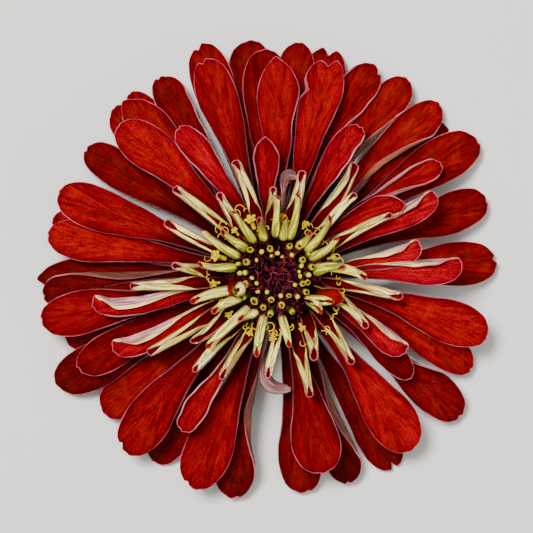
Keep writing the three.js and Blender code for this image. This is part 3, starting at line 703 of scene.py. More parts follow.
def broad_half(s, run, width, tip, whorl, end):
    """Half width of a broad ray along it, narrowing with the outline of its tip."""
    length = tip_length(tip, run, width)
    back = (1 - s) * run + float(end(np.array([1.0]))[0]) * smooth_step(s, 0.55, 1)
    into = np.clip(1 - back / length, 0, 1)
    share = 1 - 0.9 * into**POINT_CURVE if tip == POINTED else np.sqrt(1 - into**2)
    return body_half(s, width, whorl) * share


def grooved(place, depth, wave, tone):
    """Lift of a broad blade's surface: long grooves beside its main veins, and waved margins."""
    grooves = [(-0.42, 0.8), (0.02, 1.0), (0.40, 0.7)]
    shift = 0.16 * (spread(place * 2 + 1) - 0.5)

    def lift(u, s):
        open_share = smooth_step(s, 0.12, 0.5) * (1 - 0.7 * smooth_step(s, 0.86, 1))
        dips = sum(share * np.exp(-(((u - at - shift) / 0.085) ** 2)) for at, share in grooves)
        swell = 0.5 * np.cos(2.5 * math.pi * (u - shift)) * (1 - u * u)
        waves = wave * np.abs(u) ** 3 * np.sin(8.5 * s + 6.3 * tone + 2.2 * u)
        waves = waves + 0.25 * wave * np.abs(u) ** 2 * np.sin(31 * s + 9 * tone - 3 * u)
        roll = 0.6 * wave * np.sin(6 * s + 6.3 * tone + 1.6 * u)
        return open_share * (depth * (swell - dips) + waves + roll)

    return lift


def flap_turn(s, v, fold, half, whorl, tone):
    """Turn of the half of a blade whose margin lies over it: a lens-shaped flap, widest past its middle."""
    opens, shut = whorl["opens"]
    kept = 0.5 if whorl is FOLDED else 0.15
    broad = (fold - 60) / 130 * (0.25 + 0.75 * smooth_step(s, 0.15, min(0.7, opens)))
    broad = broad * (1 - smooth_step(s, opens - 0.1, min(1.02, shut + 0.1)) * (1 - kept))
    crease_at = 1 - broad + 0.03 * math.sin(7 * s + 6 * tone)
    soft = max(0.15, 0.42 / half)
    held = 1 - smooth_step(s, shut - 0.05, shut + 0.15)
    return math.radians(min(fold, FLAP_MOST)) * held * smooth_step(v, crease_at - soft, crease_at + soft)


def scarred(u, s):
    """Share of its distance from the margin that a scarred place seems to be at."""
    at, half_length = SCAR
    beside = smooth_step(u + 0.06 * np.sin(110 * s) - 0.8 * (s - at), 0.64, 0.86)
    return 1 - 0.98 * beside * np.exp(-(((s - at + 0.02 * u) / half_length) ** 2))


def dented(u, s):
    """How far a scarred margin is drawn in, in mm."""
    at, half_length = SCAR
    return DENT * smooth_step(u, 0.3, 1.0) * np.exp(-(((s - at) / (0.7 * half_length)) ** 2))


def broad_ray(ray, place, whorl):
    """A broad or folded ray; a margin that folds far over lies down as a flap."""
    azimuth, _, _, width, tip_height, fold_cw, fold_ccw, tip = ray
    sizes = bpy.context.scene.zinnia_sizes
    tone = spread(place * 1.7 + whorl["height"])
    if whorl is FOLDED:
        tone = 0.35 * tone + (0.65 if azimuth in PALE_BACKS else 0)
    # Listed tones are partly painted shade and painted light.
    tone = RAY_TONES_AND_SHADE.get(azimuth, tone)
    s = stations_along(whorl["grid"][1], 1.25)
    low = tip_height < LOW_TIP
    lift = 1.1 * spread(place * 7 + 2) if low else 1.5 * (spread(place * 7 + 2) - 0.5)
    lift = TIP_LIFTS.get(azimuth, lift)
    points = ray_path(ray, whorl, s, 1.4 * (spread(place * 9 + 4) - 0.5), lift)
    run = float(np.sum(np.linalg.norm(np.diff(points, axis=0), axis=1)))
    end = tip_outline(azimuth, tip, tip_length(tip, run, width), place)
    half = broad_half(s, run, width, tip, whorl, end)
    arch = spread(place * 4 + 1)
    twist = 16 * (spread(place * 6 + 3) - 0.5)

    def turns(at, half_here, v):
        cup = math.radians(CUP * (1.1 - 1.9 * arch * smooth_step(at, 0.3, 0.9)))
        claw = math.radians(CLAW_FOLD) * (1 - smooth_step(at, 0.05, 0.4)) * np.maximum(0, v - 0.35) / 0.65
        held = 1 - smooth_step(at, *whorl["opens"])
        sides = []
        for fold in (fold_cw, fold_ccw):
            if fold > FLAP_FROM:
                sides.append(cup * v + np.maximum(flap_turn(at, v, fold, half_here, whorl, tone), claw))
                continue
            at_v = 0.55 + 0.05 * math.sin(7 * at + 6 * tone)
            soft = max(0.34, 0.42 / half_here)
            turn = math.radians(fold) * held * smooth_step(v, at_v - soft, at_v + soft)
            sides.append(cup * v + np.maximum(turn, claw))
        return sides

    shape = {
        "turns": turns,
        "lift": grooved(place, sizes.ripple / MM, sizes.wave / MM * min(1, width / 8), tone),
        "end": end,
        "tilt": np.radians((spread(place + 1) - 0.5) * TILT_RANGE + twist * (s - 0.5)),
    }
    if azimuth == SCARRED and whorl is MIDDLE:
        shape["scar"] = scarred
        shape["dent"] = dented
    return laid_blade("ray", points, half, shape, whorl["grid"], tone)


def mouth_outline(depth):
    """Set-back of a rolled blade's last row: its margins end short of its midrib."""
    return lambda u: depth * np.abs(u) ** 1.5


def ribbed(amount, count, tone):
    """Lift of a rolled blade's surface: fine ribs along it."""
    return lambda u, s: amount * smooth_step(s, 0.05, 0.3) * np.cos(count * u + 9 * tone + 2 * s)


def rolled_ray(ray, place, whorl):
    """A ray whose two margins roll in as scrolls over its red face, closer together at the tip."""
    _, _, reach, width, _, fold_cw, fold_ccw, tip = ray
    quill = whorl is QUILL
    tone = quill_tone(ray, place) if quill else spread(place * 2.3 + 0.7)
    s = stations_along(whorl["grid"][1], 1.15)
    points = ray_path(ray, whorl, s, 5.0 * (spread(place * 5 + 3) - 0.5) * 20 / reach, 0.4)
    half = body_half(s, width * 1.02, whorl) * (QUILL_SLIMMING if quill else 1)
    narrowing = 0.92 if tip == POINTED else 0.68
    half = half * np.sqrt(1 - narrowing * np.clip((s - 0.66) / 0.34, 0, 1) ** 2)
    gap = 0.1 if quill else 0.25 + 0.6 * spread(place * 3 + 2)
    reaches = [(0.76 if quill else 0.85) + 0.4 * spread(place * k + 1) for k in (7, 11)]

    def turns(at, half_here, v):
        flat = ((0.14 if quill else 0.22) + gap * (1 - smooth_step(at, 0.35, 0.9))) / half_here
        open_share = 1 - 0.30 * smooth_step(at, 0.86, 1.0)
        sides = []
        for fold, further in zip((fold_cw, fold_ccw), reaches):
            roll = math.radians(fold * 1.36 * further) * open_share
            roll = min(roll, half_here * (1 - flat) / 0.3)
            sides.append(math.radians(8) * v + roll * np.maximum(0, (v - flat) / (1 - flat)))
        return sides

    shape = {
        "turns": turns,
        "lift": ribbed(0.035, 23, tone),
        "end": mouth_outline(0.6 + 0.9 * spread(place * 13)),
        "tilt": math.radians((spread(place + 1) - 0.5) * 26),
        "skew": 0.44 * (spread(place * 5 + 2) - 0.5),
    }
    return laid_blade("rolled ray", points, half, shape, whorl["grid"], tone)


def quill_tone(ray, place):
    """Tone of a quill: those on the lower side of the disc are creamier."""
    creamy = CREAMY_QUILLS[0] < ray[0] < CREAMY_QUILLS[1]
    return 0.15 + 0.25 * spread(place * 3.1 + 0.2) + (0.6 if creamy else 0)


def quill_ray(ray, place):
    """A plump quill, closed at its foot, with its seam to one side and an open red mouth."""
    _, _, reach, width, _, fold_cw, _, _ = ray
    tone = quill_tone(ray, place)
    s = stations_along(TUBE_GRID[1], 1.05) ** 1.2
    points = ray_path(ray, QUILL, s, 8 * (spread(place * 5 + 3) - 0.5) * 10 / reach, 0)
    half = body_half(s, width, QUILL) * QUILL_SLIMMING * (0.94 + 0.16 * spread(place * 17 + 3))
    half = half * np.sqrt(np.clip(1 - (1 - np.clip(s / 0.16, 0, 1)) ** 2, 0.004, 1))
    half = half * (1 - 0.3 * smooth_step(s, 0.15, 0.7) + 0.1 * smooth_step(s, 0.7, 1))
    wide_open = fold_cw < WIDE_MOUTH

    def turns(at, half_here, v):
        opening = (0.34 if wide_open else 0.1) * smooth_step(at, 0.45 if wide_open else 0.8, 1.0)
        roll = math.radians(177) * (1 - opening)
        return [roll * v, roll * v]

    shape = {
        "turns": turns,
        "lift": ribbed(0.03, 21, tone),
        "end": mouth_outline(0.6 + 0.7 * spread(place * 7)),
        "spin": math.radians(40 + 75 * spread(place * 9 + 1)) * (1 if place % 2 else -1),
    }
    return laid_blade("quill", points, half, shape, TUBE_GRID, tone)


def curled_blade(path, width, place):
    """A ray curled right over sideways, with its pale underside up and its margins under it."""
    points = smooth_path(np.array([polar(*point) for point in path]), CURLED_GRID[1])
    for _ in range(CURL_SMOOTHINGS):
        points[1:-1] = (points[:-2] + 2 * points[1:-1] + points[2:]) / 4
    s = np.linspace(0, 1, len(points))
    points[:, 2] += 1.2 * smooth_step(s, 0.1, 0.5)
    half = width / 2 * (0.3 + 0.85 * smooth_step(s, 0.42, 0.72))
    half = half * np.sqrt(1 - 0.9 * np.clip((s - 0.76) / 0.24, 0, 1) ** 2)
    tone = spread(place)

    def turns(at, half_here, v):
        roll = smooth_step(at, 0.0, 0.25)
        under = math.radians(105) * roll * np.maximum(0, v - 0.2) / 0.8
        return [under, math.radians(150) * roll * smooth_step(v, 0.1, 0.8)]

    def lift(u, at):
        folds = 0.09 * np.cos(9 * u + 2) + 0.05 * np.cos(21 * u)
        return -smooth_step(at, 0.2, 0.5) * folds

    shape = {"turns": turns, "lift": lift, "end": lambda u: 0.6 * np.abs(u) ** 2, "tilt": math.pi}
    return laid_blade("curled ray", points, half, shape, CURLED_GRID, tone)


def hooked_blade():
    """A small ray bent right round on itself: red outside, with its pale back showing at its end."""
    points = smooth_path(np.array(HOOK_PATH), HOOK_GRID[1])
    s = np.linspace(0, 1, len(points))
    half = HOOK_HALF * (0.55 + 0.45 * smooth_step(s, 0, 0.3))
    half = half * np.sqrt(1 - 0.8 * np.clip((s - 0.7) / 0.3, 0, 1) ** 2)
    lean = np.interp(s * (len(HOOK_LEANS) - 1), range(len(HOOK_LEANS)), HOOK_LEANS)
    shape = {
        "turns": lambda at, half_here, v: [math.radians(-35) * v] * 2,
        "lift": ribbed(0.03, 21, 0.5),
        "end": mouth_outline(0.3),
        "tilt": np.radians(lean),
    }
    return laid_blade("hooked ray", points, half, shape, HOOK_GRID, 0.9)


def whorl_blades(table, whorl, make=broad_ray):
    return [make(ray, i + whorl["first"], whorl) for i, ray in enumerate(table)]


def smooth_path(knots, count):
    """Points on a smooth curve through the knots."""
    ends = np.vstack([2 * knots[0] - knots[1], knots, 2 * knots[-1] - knots[-2]])
    points = []
    for value in np.linspace(0, len(knots) - 1 - 1e-9, count):
        i = int(value)
        t = value - i
        a, b, c, d = ends[i], ends[i + 1], ends[i + 2], ends[i + 3]
        cubic = 3 * b - a - 3 * c + d
        points.append(0.5 * (2 * b + (c - a) * t + (2 * a - 5 * b + 4 * c - d) * t**2 + cubic * t**3))
    return np.array(points)


def thickened(blades, name, materials):
    """Joins blades and gives them their thickness: upper side, underside and rim."""
    piece = joined(blades, name)
    in_edit_mode(piece, bpy.ops.mesh.flip_normals)
    give_materials(piece, materials)
    thickness = bpy.context.scene.zinnia_sizes.blade
    apply_modifier(
        piece, "SOLIDIFY", thickness=thickness, offset=0.0, material_offset=1, material_offset_rim=2
    )
    write_shading_slopes(piece.data)
    select([piece])
    bpy.ops.object.shade_smooth_by_angle(angle=BLADES_SMOOTH_BELOW)
    return piece


def write_shading_slopes(mesh):
    """Stores how far each place of a surface is from facing up, 0 there and 1 on its flanks and below, for
    painted flank shade.
    """
    normals = np.zeros(len(mesh.vertices) * 3)
    mesh.vertex_normals.foreach_get("vector", normals)
    upward = np.clip(normals.reshape(-1, 3)[:, 2], 0, 1)
    write_values(mesh, "slope", np.stack([1 - upward, 0 * upward, 0 * upward], axis=1))


# ---- Materials ----


def node(tree, kind, inputs, **settings):
    """A new node's outputs. Each of its inputs takes a number, a colour or a vector, or another's output."""
    made = tree.nodes.new(kind)
    for key, value in settings.items():
        setattr(made, key, value)
    for key, value in inputs.items():
        if isinstance(value, (int, float, tuple)):
            made.inputs[key].default_value = value
        else:
            tree.links.new(value, made.inputs[key])
    return made.outputs


def math_node(tree, operation, *values):
    return node(tree, "ShaderNodeMath", dict(enumerate(values)), operation=operation)[0]


def times(tree, a, b):
    return math_node(tree, "MULTIPLY", a, b)


def scaled(tree, value, gain, offset):
    return math_node(tree, "MULTIPLY_ADD", value, gain, offset)


def ramp(tree, value, low, high):
    """A soft step, from 0 where the value is low to 1 where it is high."""
    inputs = {"Value": value, "From Min": low, "From Max": high}
    return node(tree, "ShaderNodeMapRange", inputs, interpolation_type="SMOOTHSTEP")["Result"]


def mix(tree, share, a, b, kind="MIX"):
    """The first colour, with a share of the second. Either may be as seen on screen."""
    a, b = (linear(value) if isinstance(value, tuple) else value for value in (a, b))
    return node(tree, "ShaderNodeMix", {0: share, 6: a, 7: b}, data_type="RGBA", blend_type=kind)[2]


def darkened(tree, colour, value):
    grey = node(tree, "ShaderNodeCombineColor", {0: value, 1: value, 2: value})[0]
    return mix(tree, 1.0, colour, grey, "MULTIPLY")


def noise(tree, vector, scale, detail=2.0, roughness=0.5, distortion=0.0, stretch=None):
    if stretch:
        vector = node(tree, "ShaderNodeMapping", {"Vector": vector, "Scale": stretch})[0]
    inputs = {"Vector": vector, "Scale": scale, "Detail": detail, "Roughness": roughness}
    return node(tree, "ShaderNodeTexNoise", {**inputs, "Distortion": distortion})[0]


def three_parts(tree, vector):
    return node(tree, "ShaderNodeSeparateXYZ", {0: vector})


def stored(tree, name):
    """The three numbers that write_values stored.

    A blade has lay (mm across and along it, and 31 times its tone), petal (mm from its margin, share of
    its length, tone) and slope (0 where it faces up, 1 on its flanks and below).
    """
    return node(tree, "ShaderNodeAttribute", {}, attribute_name=name)["Vector"]


def object_places(tree):
    return node(tree, "ShaderNodeTexCoord", {})["Object"]


def new_group(name, inputs, outputs):
    """A node group of numbers; an input without a default is a vector."""
    group = bpy.data.node_groups.new(name, "ShaderNodeTree")
    for key, default in inputs.items():
        kind = "NodeSocketVector" if default is None else "NodeSocketFloat"
        made = group.interface.new_socket(name=key, in_out="INPUT", socket_type=kind)
        if default is not None:
            made.default_value = default
    for key in outputs:
        group.interface.new_socket(name=key, in_out="OUTPUT", socket_type="NodeSocketFloat")
    return group, group.nodes.new("NodeGroupInput").outputs, group.nodes.new("NodeGroupOutput").inputs


def petal_group():
    """Surface of a petal, from its laid-flat millimetres: veins, flecks, velvet, streaks and patches.

    Fan turns the veins and flecks outwards from the midrib; at 0 they run along the petal.
    """
    group, given, results = new_group("petal surface", {"Lay": None, "Veins Apart": 1.0, "Fan": 0.0},
                                      ("Vein", "Fleck", "Grain", "Patch", "Streak", "Height"))
    lay, fan = given["Lay"], given["Fan"]
    aside, along, apart = three_parts(group, lay)
    out = math_node(group, "ABSOLUTE", aside)
    up_vein = scaled(group, out, fan, along)
    over_vein = math_node(group, "SUBTRACT", out, times(group, along, fan))
    sides_apart = scaled(group, ramp(group, aside, -0.9, 0.9), 4.0, apart)
    turned = node(group, "ShaderNodeCombineXYZ", {0: over_vein, 1: up_vein, 2: sides_apart})[0]
    close = node(group, "ShaderNodeVectorMath", {0: turned, "Scale": given["Veins Apart"]},
                 operation="SCALE")[0]
    streaks = noise(group, close, 1.0, 3.0, 0.6, 0.15, stretch=(1.3, 0.06, 1.0))
    hairs = noise(group, close, 1.0, 2.0, 0.5, 0.1, stretch=(3.0, 0.1, 1.0))
    vein = times(group, ramp(group, streaks, 0.54, 0.36), 0.7)
    lines = math_node(group, "MAXIMUM", vein, times(group, ramp(group, hairs, 0.56, 0.38), 0.6))
    flecks = noise(group, turned, 1.0, 3.0, 0.62, 0.4, stretch=(3.6, 0.42, 1.0))
    velvet = noise(group, lay, 4.3, 2.0, 0.65)
    patch = noise(group, lay, 0.3, 2.0, 0.5, 0.5)
    broad = noise(group, turned, 1.0, 2.0, 0.5, 0.5, stretch=(0.75, 0.11, 1.0))
    relief = scaled(group, velvet, 0.5, flecks)
    height = math_node(group, "SUBTRACT", relief, times(group, lines, 0.3))
    group.links.new(lines, results["Vein"])
    group.links.new(ramp(group, flecks, 0.52, 0.36), results["Fleck"])
    group.links.new(ramp(group, velvet, 0.30, 0.70), results["Grain"])
    group.links.new(ramp(group, broad, 0.36, 0.62), results["Streak"])
    group.links.new(ramp(group, patch, 0.35, 0.68), results["Patch"])
    group.links.new(height, results["Height"])
    return group


def margin_group():
    """Mask of a thin pale line along a petal's margin, a little broken along its length."""
    group, given, results = new_group("margin line", {"Edge": 1.0, "Lay": None, "Width": 0.3}, ("Mask",))
    wander = noise(group, given["Lay"], 0.9, 2.0)
    width = times(group, given["Width"], scaled(group, wander, 1.4, 0.3))
    share = math_node(group, "DIVIDE", given["Edge"], width)
    group.links.new(ramp(group, share, 1.0, 0.45), results["Mask"])
    return group


def petal_surface(tree, lay, veins_apart, fan):
    group = bpy.data.node_groups.get("petal surface") or petal_group()
    return node(tree, "ShaderNodeGroup", {"Lay": lay, "Veins Apart": veins_apart, "Fan": fan},
                node_tree=group)


def margin_line(tree, lay, edge, width):
    group = bpy.data.node_groups.get("margin line") or margin_group()
    return node(tree, "ShaderNodeGroup", {"Lay": lay, "Edge": edge, "Width": width}, node_tree=group)[0]


def new_material(name, roughness, **constants):
    material = bpy.data.materials.new(name)
    material.use_nodes = True
    tree = material.node_tree
    shader = tree.nodes["Principled BSDF"]
    shader.inputs["Roughness"].default_value = roughness
    for key, value in constants.items():
        shader.inputs[key.replace("_", " ")].default_value = value
    return material, tree, shader


def finish_material(tree, shader, colour, height, strength, distance):
    """Gives a shader its colour, and the bump of a height over a distance in metres."""
    tree.links.new(colour, shader.inputs["Base Color"])
    inputs = {"Height": height, "Strength": strength, "Distance": distance}
    tree.links.new(node(tree, "ShaderNodeBump", inputs)[0], shader.inputs["Normal"])


def petal_face(name, bright, warm, deep, rim, rim_width):
    """Velvety coloured face of a ray: warm patches, deep flecks, foot and margin, pale outline."""
    material, tree, shader = new_material(
        name, 0.6, Specular_IOR_Level=0.06, Specular_Tint=linear((1.0, 0.5, 0.4))
    )
    lay = stored(tree, "lay")
    edge, along, tone = three_parts(tree, stored(tree, "petal"))
    surface = petal_surface(tree, lay, 1.0, 0.2)
    warmth = times(tree, times(tree, surface["Patch"], 0.7), ramp(tree, edge, 0.6, 2.4))
    colour = mix(tree, warmth, bright, warm)
    band = scaled(tree, ramp(tree, edge, 2.0, 0.2), 0.3, times(tree, ramp(tree, edge, 0.7, 0.1), 0.4))
    colour = mix(tree, band, colour, deep)
    vein, fleck = times(tree, surface["Vein"], 0.45), times(tree, surface["Fleck"], 0.62)
    colour = mix(tree, math_node(tree, "MAXIMUM", vein, fleck), colour, shade(deep, 0.7))
    grain = scaled(tree, surface["Grain"], 0.80, 0.62)
    streaked = times(tree, grain, scaled(tree, surface["Streak"], 0.46, 0.72))
    toned = times(tree, streaked, scaled(tree, tone, 0.4, 0.8))
    foot = scaled(tree, ramp(tree, along, 0.1, 0.6), 0.75, 0.25)
    colour = darkened(tree, colour, times(tree, toned, foot))
    tip_share = ramp(tree, along, 0.72, 0.95)
    narrower = math_node(tree, "DIVIDE", edge, math_node(tree, "ADD", tip_share, 1.0))
    outline = times(tree, margin_line(tree, lay, narrower, rim_width), 0.82)
    rim_colour = mix(tree, tip_share, shade(rim, 0.85), shade(rim, 1.38))
    colour = mix(tree, outline, colour, rim_colour)
    tree.links.new(scaled(tree, surface["Grain"], 0.2, 0.5), shader.inputs["Roughness"])
    finish_material(tree, shader, colour, surface["Height"], 1.0, 0.0003)
    return material


def petal_back(name, bases, tip, lines, rim, flush_from, rim_from, dark, flank_shade=0.0, flush_to=1.0,
               margin=None):
    """Pale outside of a ray: lines along it, dim foot, painted shade on its flanks, flushed towards its tip.

    The bases are its colours at a tone of 0.25 and 0.75. Flush and rim start at shares of its length,
    dark is how light its foot is, and flank_shade how much of the lines' colour paints shade on its flanks.
    """
    material, tree, shader = new_material(name, 0.55, Specular_IOR_Level=0.3)
    lay = stored(tree, "lay")
    edge, along, tone = three_parts(tree, stored(tree, "petal"))
    surface = petal_surface(tree, lay, 1.7, 0.0)
    light_share = ramp(tree, tone, 0.25, 0.75)
    flush = times(tree, ramp(tree, along, flush_from, flush_to), scaled(tree, surface["Patch"], 0.5, 0.5))
    colour = mix(tree, flush, mix(tree, light_share, *bases), tip)
    if margin:
        beside = times(tree, ramp(tree, edge, 1.1, 0.3), light_share)
        colour = mix(tree, beside, colour, margin)
    slope = three_parts(tree, stored(tree, "slope"))[0]
    # Painted shade: places facing away from up take the lines' dark colour, darkening the flanks.
    flanks = times(tree, ramp(tree, slope, 0.22, 0.72), flank_shade)
    veins = times(tree, ramp(tree, surface["Vein"], 0.12, 0.6), 0.8)
    colour = mix(tree, math_node(tree, "MAXIMUM", veins, flanks), colour, lines)
    grain = scaled(tree, surface["Grain"], 0.28, scaled(tree, surface["Fleck"], -0.16, 0.92))
    foot = scaled(tree, ramp(tree, along, 0.0, 0.5), 1 - dark, dark)
    toned = times(tree, times(tree, grain, foot), scaled(tree, tone, 0.24, 0.86))
    colour = darkened(tree, colour, toned)
    near_tip = ramp(tree, along, rim_from - 0.12, rim_from + 0.12)
    outline = times(tree, times(tree, margin_line(tree, lay, edge, 0.16), near_tip), 0.8)
    colour = mix(tree, outline, colour, rim)
    finish_material(tree, shader, colour, surface["Height"], 0.8, 0.00012)
    return material


def petal_rim(name, foot, tip, tip_from):
    """Cut edge of a ray, from its foot's colour to its tip's."""
    material, tree, shader = new_material(name, 0.5)
    along = three_parts(tree, stored(tree, "petal"))[1]
    wander = scaled(tree, noise(tree, stored(tree, "lay"), 0.8, 2.0), 0.3, along)
    share = ramp(tree, wander, tip_from, tip_from + 0.25)
    tree.links.new(mix(tree, share, foot, tip), shader.inputs["Base Color"])
    return material


def grown_material(name, base, other, dark, scale, roughness, **constants):
    """A grown surface on object coordinates: slow patches, small specks and a fine bump."""
    material, tree, shader = new_material(name, roughness, **constants)
    places = object_places(tree)
    patch = noise(tree, places, scale, 3.0, 0.6)
    specks = noise(tree, places, scale * 7, 2.0, 0.6)
    colour = mix(tree, ramp(tree, patch, 0.35, 0.65), base, other)
    colour = mix(tree, times(tree, ramp(tree, specks, 0.55, 0.75), 0.6), colour, dark)
    finish_material(tree, shader, colour, math_node(tree, "ADD", patch, specks), 0.5, 0.00012)
    return material


def red_materials(name, bright, warm, deep, backs, tip, margin=None):
    """The face, back and rim of a red ray; its back is between two colours, by its tone."""
    pink = (0.60, 0.24, 0.30)
    face = petal_face(name + " face", bright, warm, deep, pink, 0.12)
    back = petal_back(name + " back", backs, tip, shade(backs[0], 0.6), margin or pink, flush_from=0.3,
                      rim_from=0.3, dark=0.5, margin=margin)
    return [face, back, petal_rim(name + " rim", shade(pink, 0.6), (0.68, 0.36, 0.39), 0.6)]


# ---- The whorls of rays ----


class ZINNIA_OT_outer_rays(bpy.types.Operator):
    """Add the two backmost layers of broad, russet red rays"""

    bl_idname = "zinnia.outer_rays"
    bl_label = "Outer rays"

    def execute(self, context):
        materials = red_materials("russet velvet", chosen("russet"), (0.54, 0.09, 0.02), (0.25, 0.0, 0.02),
                                  ((0.42, 0.20, 0.12), (0.54, 0.31, 0.18)), (0.60, 0.34, 0.26))
        blades = whorl_blades(BACK_RAYS, BACK) + whorl_blades(OUTER_RAYS, OUTER)
        piece = thickened(blades, "outer_ray_blades", materials)
        finish_piece(piece, ["outer_rays"])
        return {"FINISHED"}


class ZINNIA_OT_middle_rays(bpy.types.Operator):
    """Add the front layer of broad, bright scarlet rays"""

    bl_idname = "zinnia.middle_rays"
    bl_label = "Middle rays"

    def execute(self, context):
        materials = red_materials("scarlet velvet", chosen("scarlet"), (0.585, 0.06, 0.02), (0.30, 0.0, 0.04),
                                  ((0.52, 0.24, 0.24), (0.66, 0.40, 0.36)), chosen("lavender"))
        piece = thickened(whorl_blades(MIDDLE_RAYS, MIDDLE), "middle_ray_blades", materials)
        finish_piece(piece, ["middle_rays"])
        return {"FINISHED"}


class ZINNIA_OT_folded_rays(bpy.types.Operator):
    """Add the narrower crimson rays with folded margins, and the two that curl over"""

    bl_idname = "zinnia.folded_rays"
    bl_label = "Folded rays"

    def execute(self, context):
        rose, pale_pink, butter = (0.56, 0.28, 0.30), (0.84, 0.56, 0.58), (1.0, 0.84, 0.50)
        materials = red_materials("crimson velvet", chosen("crimson"), (0.64, 0.03, 0.05), (0.30, 0.0, 0.06),
                                  (rose, pale_pink), chosen("lavender"), margin=butter)
        piece = thickened(whorl_blades(FOLDED_RAYS, FOLDED), "folded_ray_blades", materials)
        finish_piece(piece, ["folded_rays"])
        deep_red = (0.28, 0.0, 0.04)
        # Its line colour also serves as painted shade on its flanks.
        back = petal_back("curled mauve back", (deep_red, deep_red), (0.60, 0.43, 0.41), (0.26, 0.08, 0.10),
                          (0.66, 0.56, 0.42), flush_from=0.35, rim_from=0.3, dark=0.5, flank_shade=0.6,
                          flush_to=0.6)
        curled = [
            curled_blade(path, width, i + CURLED_FIRST)
            for i, (path, width) in enumerate(zip(CURLED_PATHS, CURLED_WIDTHS))
        ]
        piece = thickened(curled, "curled_ray_blades", [materials[0], back, materials[2]])
        finish_piece(piece, [])
        return {"FINISHED"}


class ZINNIA_OT_rolled_rays(bpy.types.Operator):
    """Add the cream rays whose margins roll in over their red faces"""

    bl_idname = "zinnia.rolled_rays"
    bl_label = "Rolled rays"

    def execute(self, context):
        cream = chosen("cream")
        # The red face inside a rolled ray is darkened as painted shade, for the shadowed gap between its
        # scrolls.
        face = petal_face("rolled red face", shade(chosen("crimson"), 0.75), (0.46, 0.0, 0.05),
                          (0.18, 0.0, 0.03), (0.62, 0.24, 0.27), 0.1)
        # Its line colour also serves as painted shade on its flanks.
        back = petal_back("rolled cream back", (blend(cream, (0.80, 0.74, 0.24), 0.6), cream),
                          blend(cream, chosen("lavender"), 0.4), (0.42, 0.22, 0.08), (0.66, 0.26, 0.28),
                          flush_from=0.75, rim_from=0.7, dark=0.6, flank_shade=0.85)
        rim = petal_rim("rolled rim", (0.50, 0.20, 0.16), (0.70, 0.28, 0.30), 0.6)
        blades = whorl_blades(ROLLED_RAYS, ROLLED, rolled_ray)
        piece = thickened(blades, "rolled_ray_blades", [face, back, rim])
        finish_piece(piece, ["rolled_rays"])
        return {"FINISHED"}


class ZINNIA_OT_quill_rays(bpy.types.Operator):
    """Add the young quills with red mouths round the disc"""

    bl_idname = "zinnia.quill_rays"
    bl_label = "Quill rays"

    def execute(self, context):
        green, cream = chosen("pale_green"), chosen("cream")
        face = petal_face("quill red face", (0.60, 0.03, 0.02), (0.68, 0.10, 0.02), (0.34, 0.0, 0.03),
                          (0.54, 0.15, 0.14), 0.08)
        # Its line colour also serves as painted shade on its flanks.
        back = petal_back("quill pale back", (green, blend(green, cream, 0.7)), blend(green, cream, 0.6),
                          (0.36, 0.29, 0.03), (0.58, 0.19, 0.15), flush_from=0.3, rim_from=0.9, dark=0.85,
                          flank_shade=0.8)
        rim = petal_rim("quill rim", (0.42, 0.34, 0.04), (0.56, 0.17, 0.15), 0.8)
        blades = [self.blade(i, ray) for i, ray in enumerate(QUILL_RAYS)]
        piece = thickened(blades, "quill_ray_tubes", [face, back, rim])
        finish_piece(piece, ["quill_rays"])
        return {"FINISHED"}

    def blade(self, i, ray):
        azimuth, fold = ray[0], ray[5]
        if azimuth == HOOKED:
            return hooked_blade()
        if fold < FLAP_FROM:
            return broad_ray(ray, i, OPEN_QUILL)
        if azimuth in SEAM_UP:
            return rolled_ray(ray, i, QUILL)
        return quill_ray(ray, i)


# ---- The disc ----


def star_floret_model():
    """One star floret along +Z, mouth at the origin: five plump lobes bent back from a short tube."""

    def place(turn, t):
        lobe = (0.5 + 0.5 * math.cos(5 * turn)) ** 0.7
        if t < 0.5:
            radius = 0.28 + 0.10 * (t / 0.5) ** 3
            height = -2.0 + 2.0 * t / 0.5
        else:
            bend = (t - 0.5) / 0.5
            radius = 0.38 + (0.12 + 0.5 * lobe) * math.sin(0.8 * math.pi * bend)
            height = 0.34 * lobe * (1 - math.cos(0.9 * math.pi * bend)) * 0.5 - 0.25 * lobe * bend**3
        return radius * math.cos(turn), radius * math.sin(turn), height

    star = turned_grid(40, 14, place)
    apply_modifier(star, "WELD", merge_threshold=0.001)
    apply_modifier(star, "SOLIDIFY", thickness=0.16, offset=0.0)
    column = [star]
    for i in range(5):
        bpy.ops.mesh.primitive_uv_sphere_add(segments=8, ring_count=6, radius=0.19)
        knob = bpy.context.object
        knob.data.transform(Matrix.Diagonal((0.85, 0.85, 1.5, 1)))
        knob.data.transform(Matrix.Translation(polar(i * 72, 0.2, 0.22 + 0.08 * (i % 2))))
        column.append(knob)
    return joined(column, "star floret")


def thread(points, radius):
    """A thin round thread along points in metres, its far end tapered."""
    bpy.ops.curve.primitive_bezier_curve_add()
    curve = bpy.context.object
    data = curve.data
    data.splines.clear()
    spline = data.splines.new("BEZIER")
    spline.bezier_points.add(len(points) - 1)
    for i, (knot, point) in enumerate(zip(spline.bezier_points, points)):
        knot.co = point
        knot.handle_left_type = "AUTO"
        knot.handle_right_type = "AUTO"
        knot.radius = 1 - 0.45 * (i / (len(points) - 1)) ** 2
    data.resolution_u = 3
    data.bevel_depth = radius
    data.bevel_resolution = 1
    data.use_fill_caps = True
    select([curve])
    bpy.ops.object.convert(target="MESH")
    return bpy.context.object


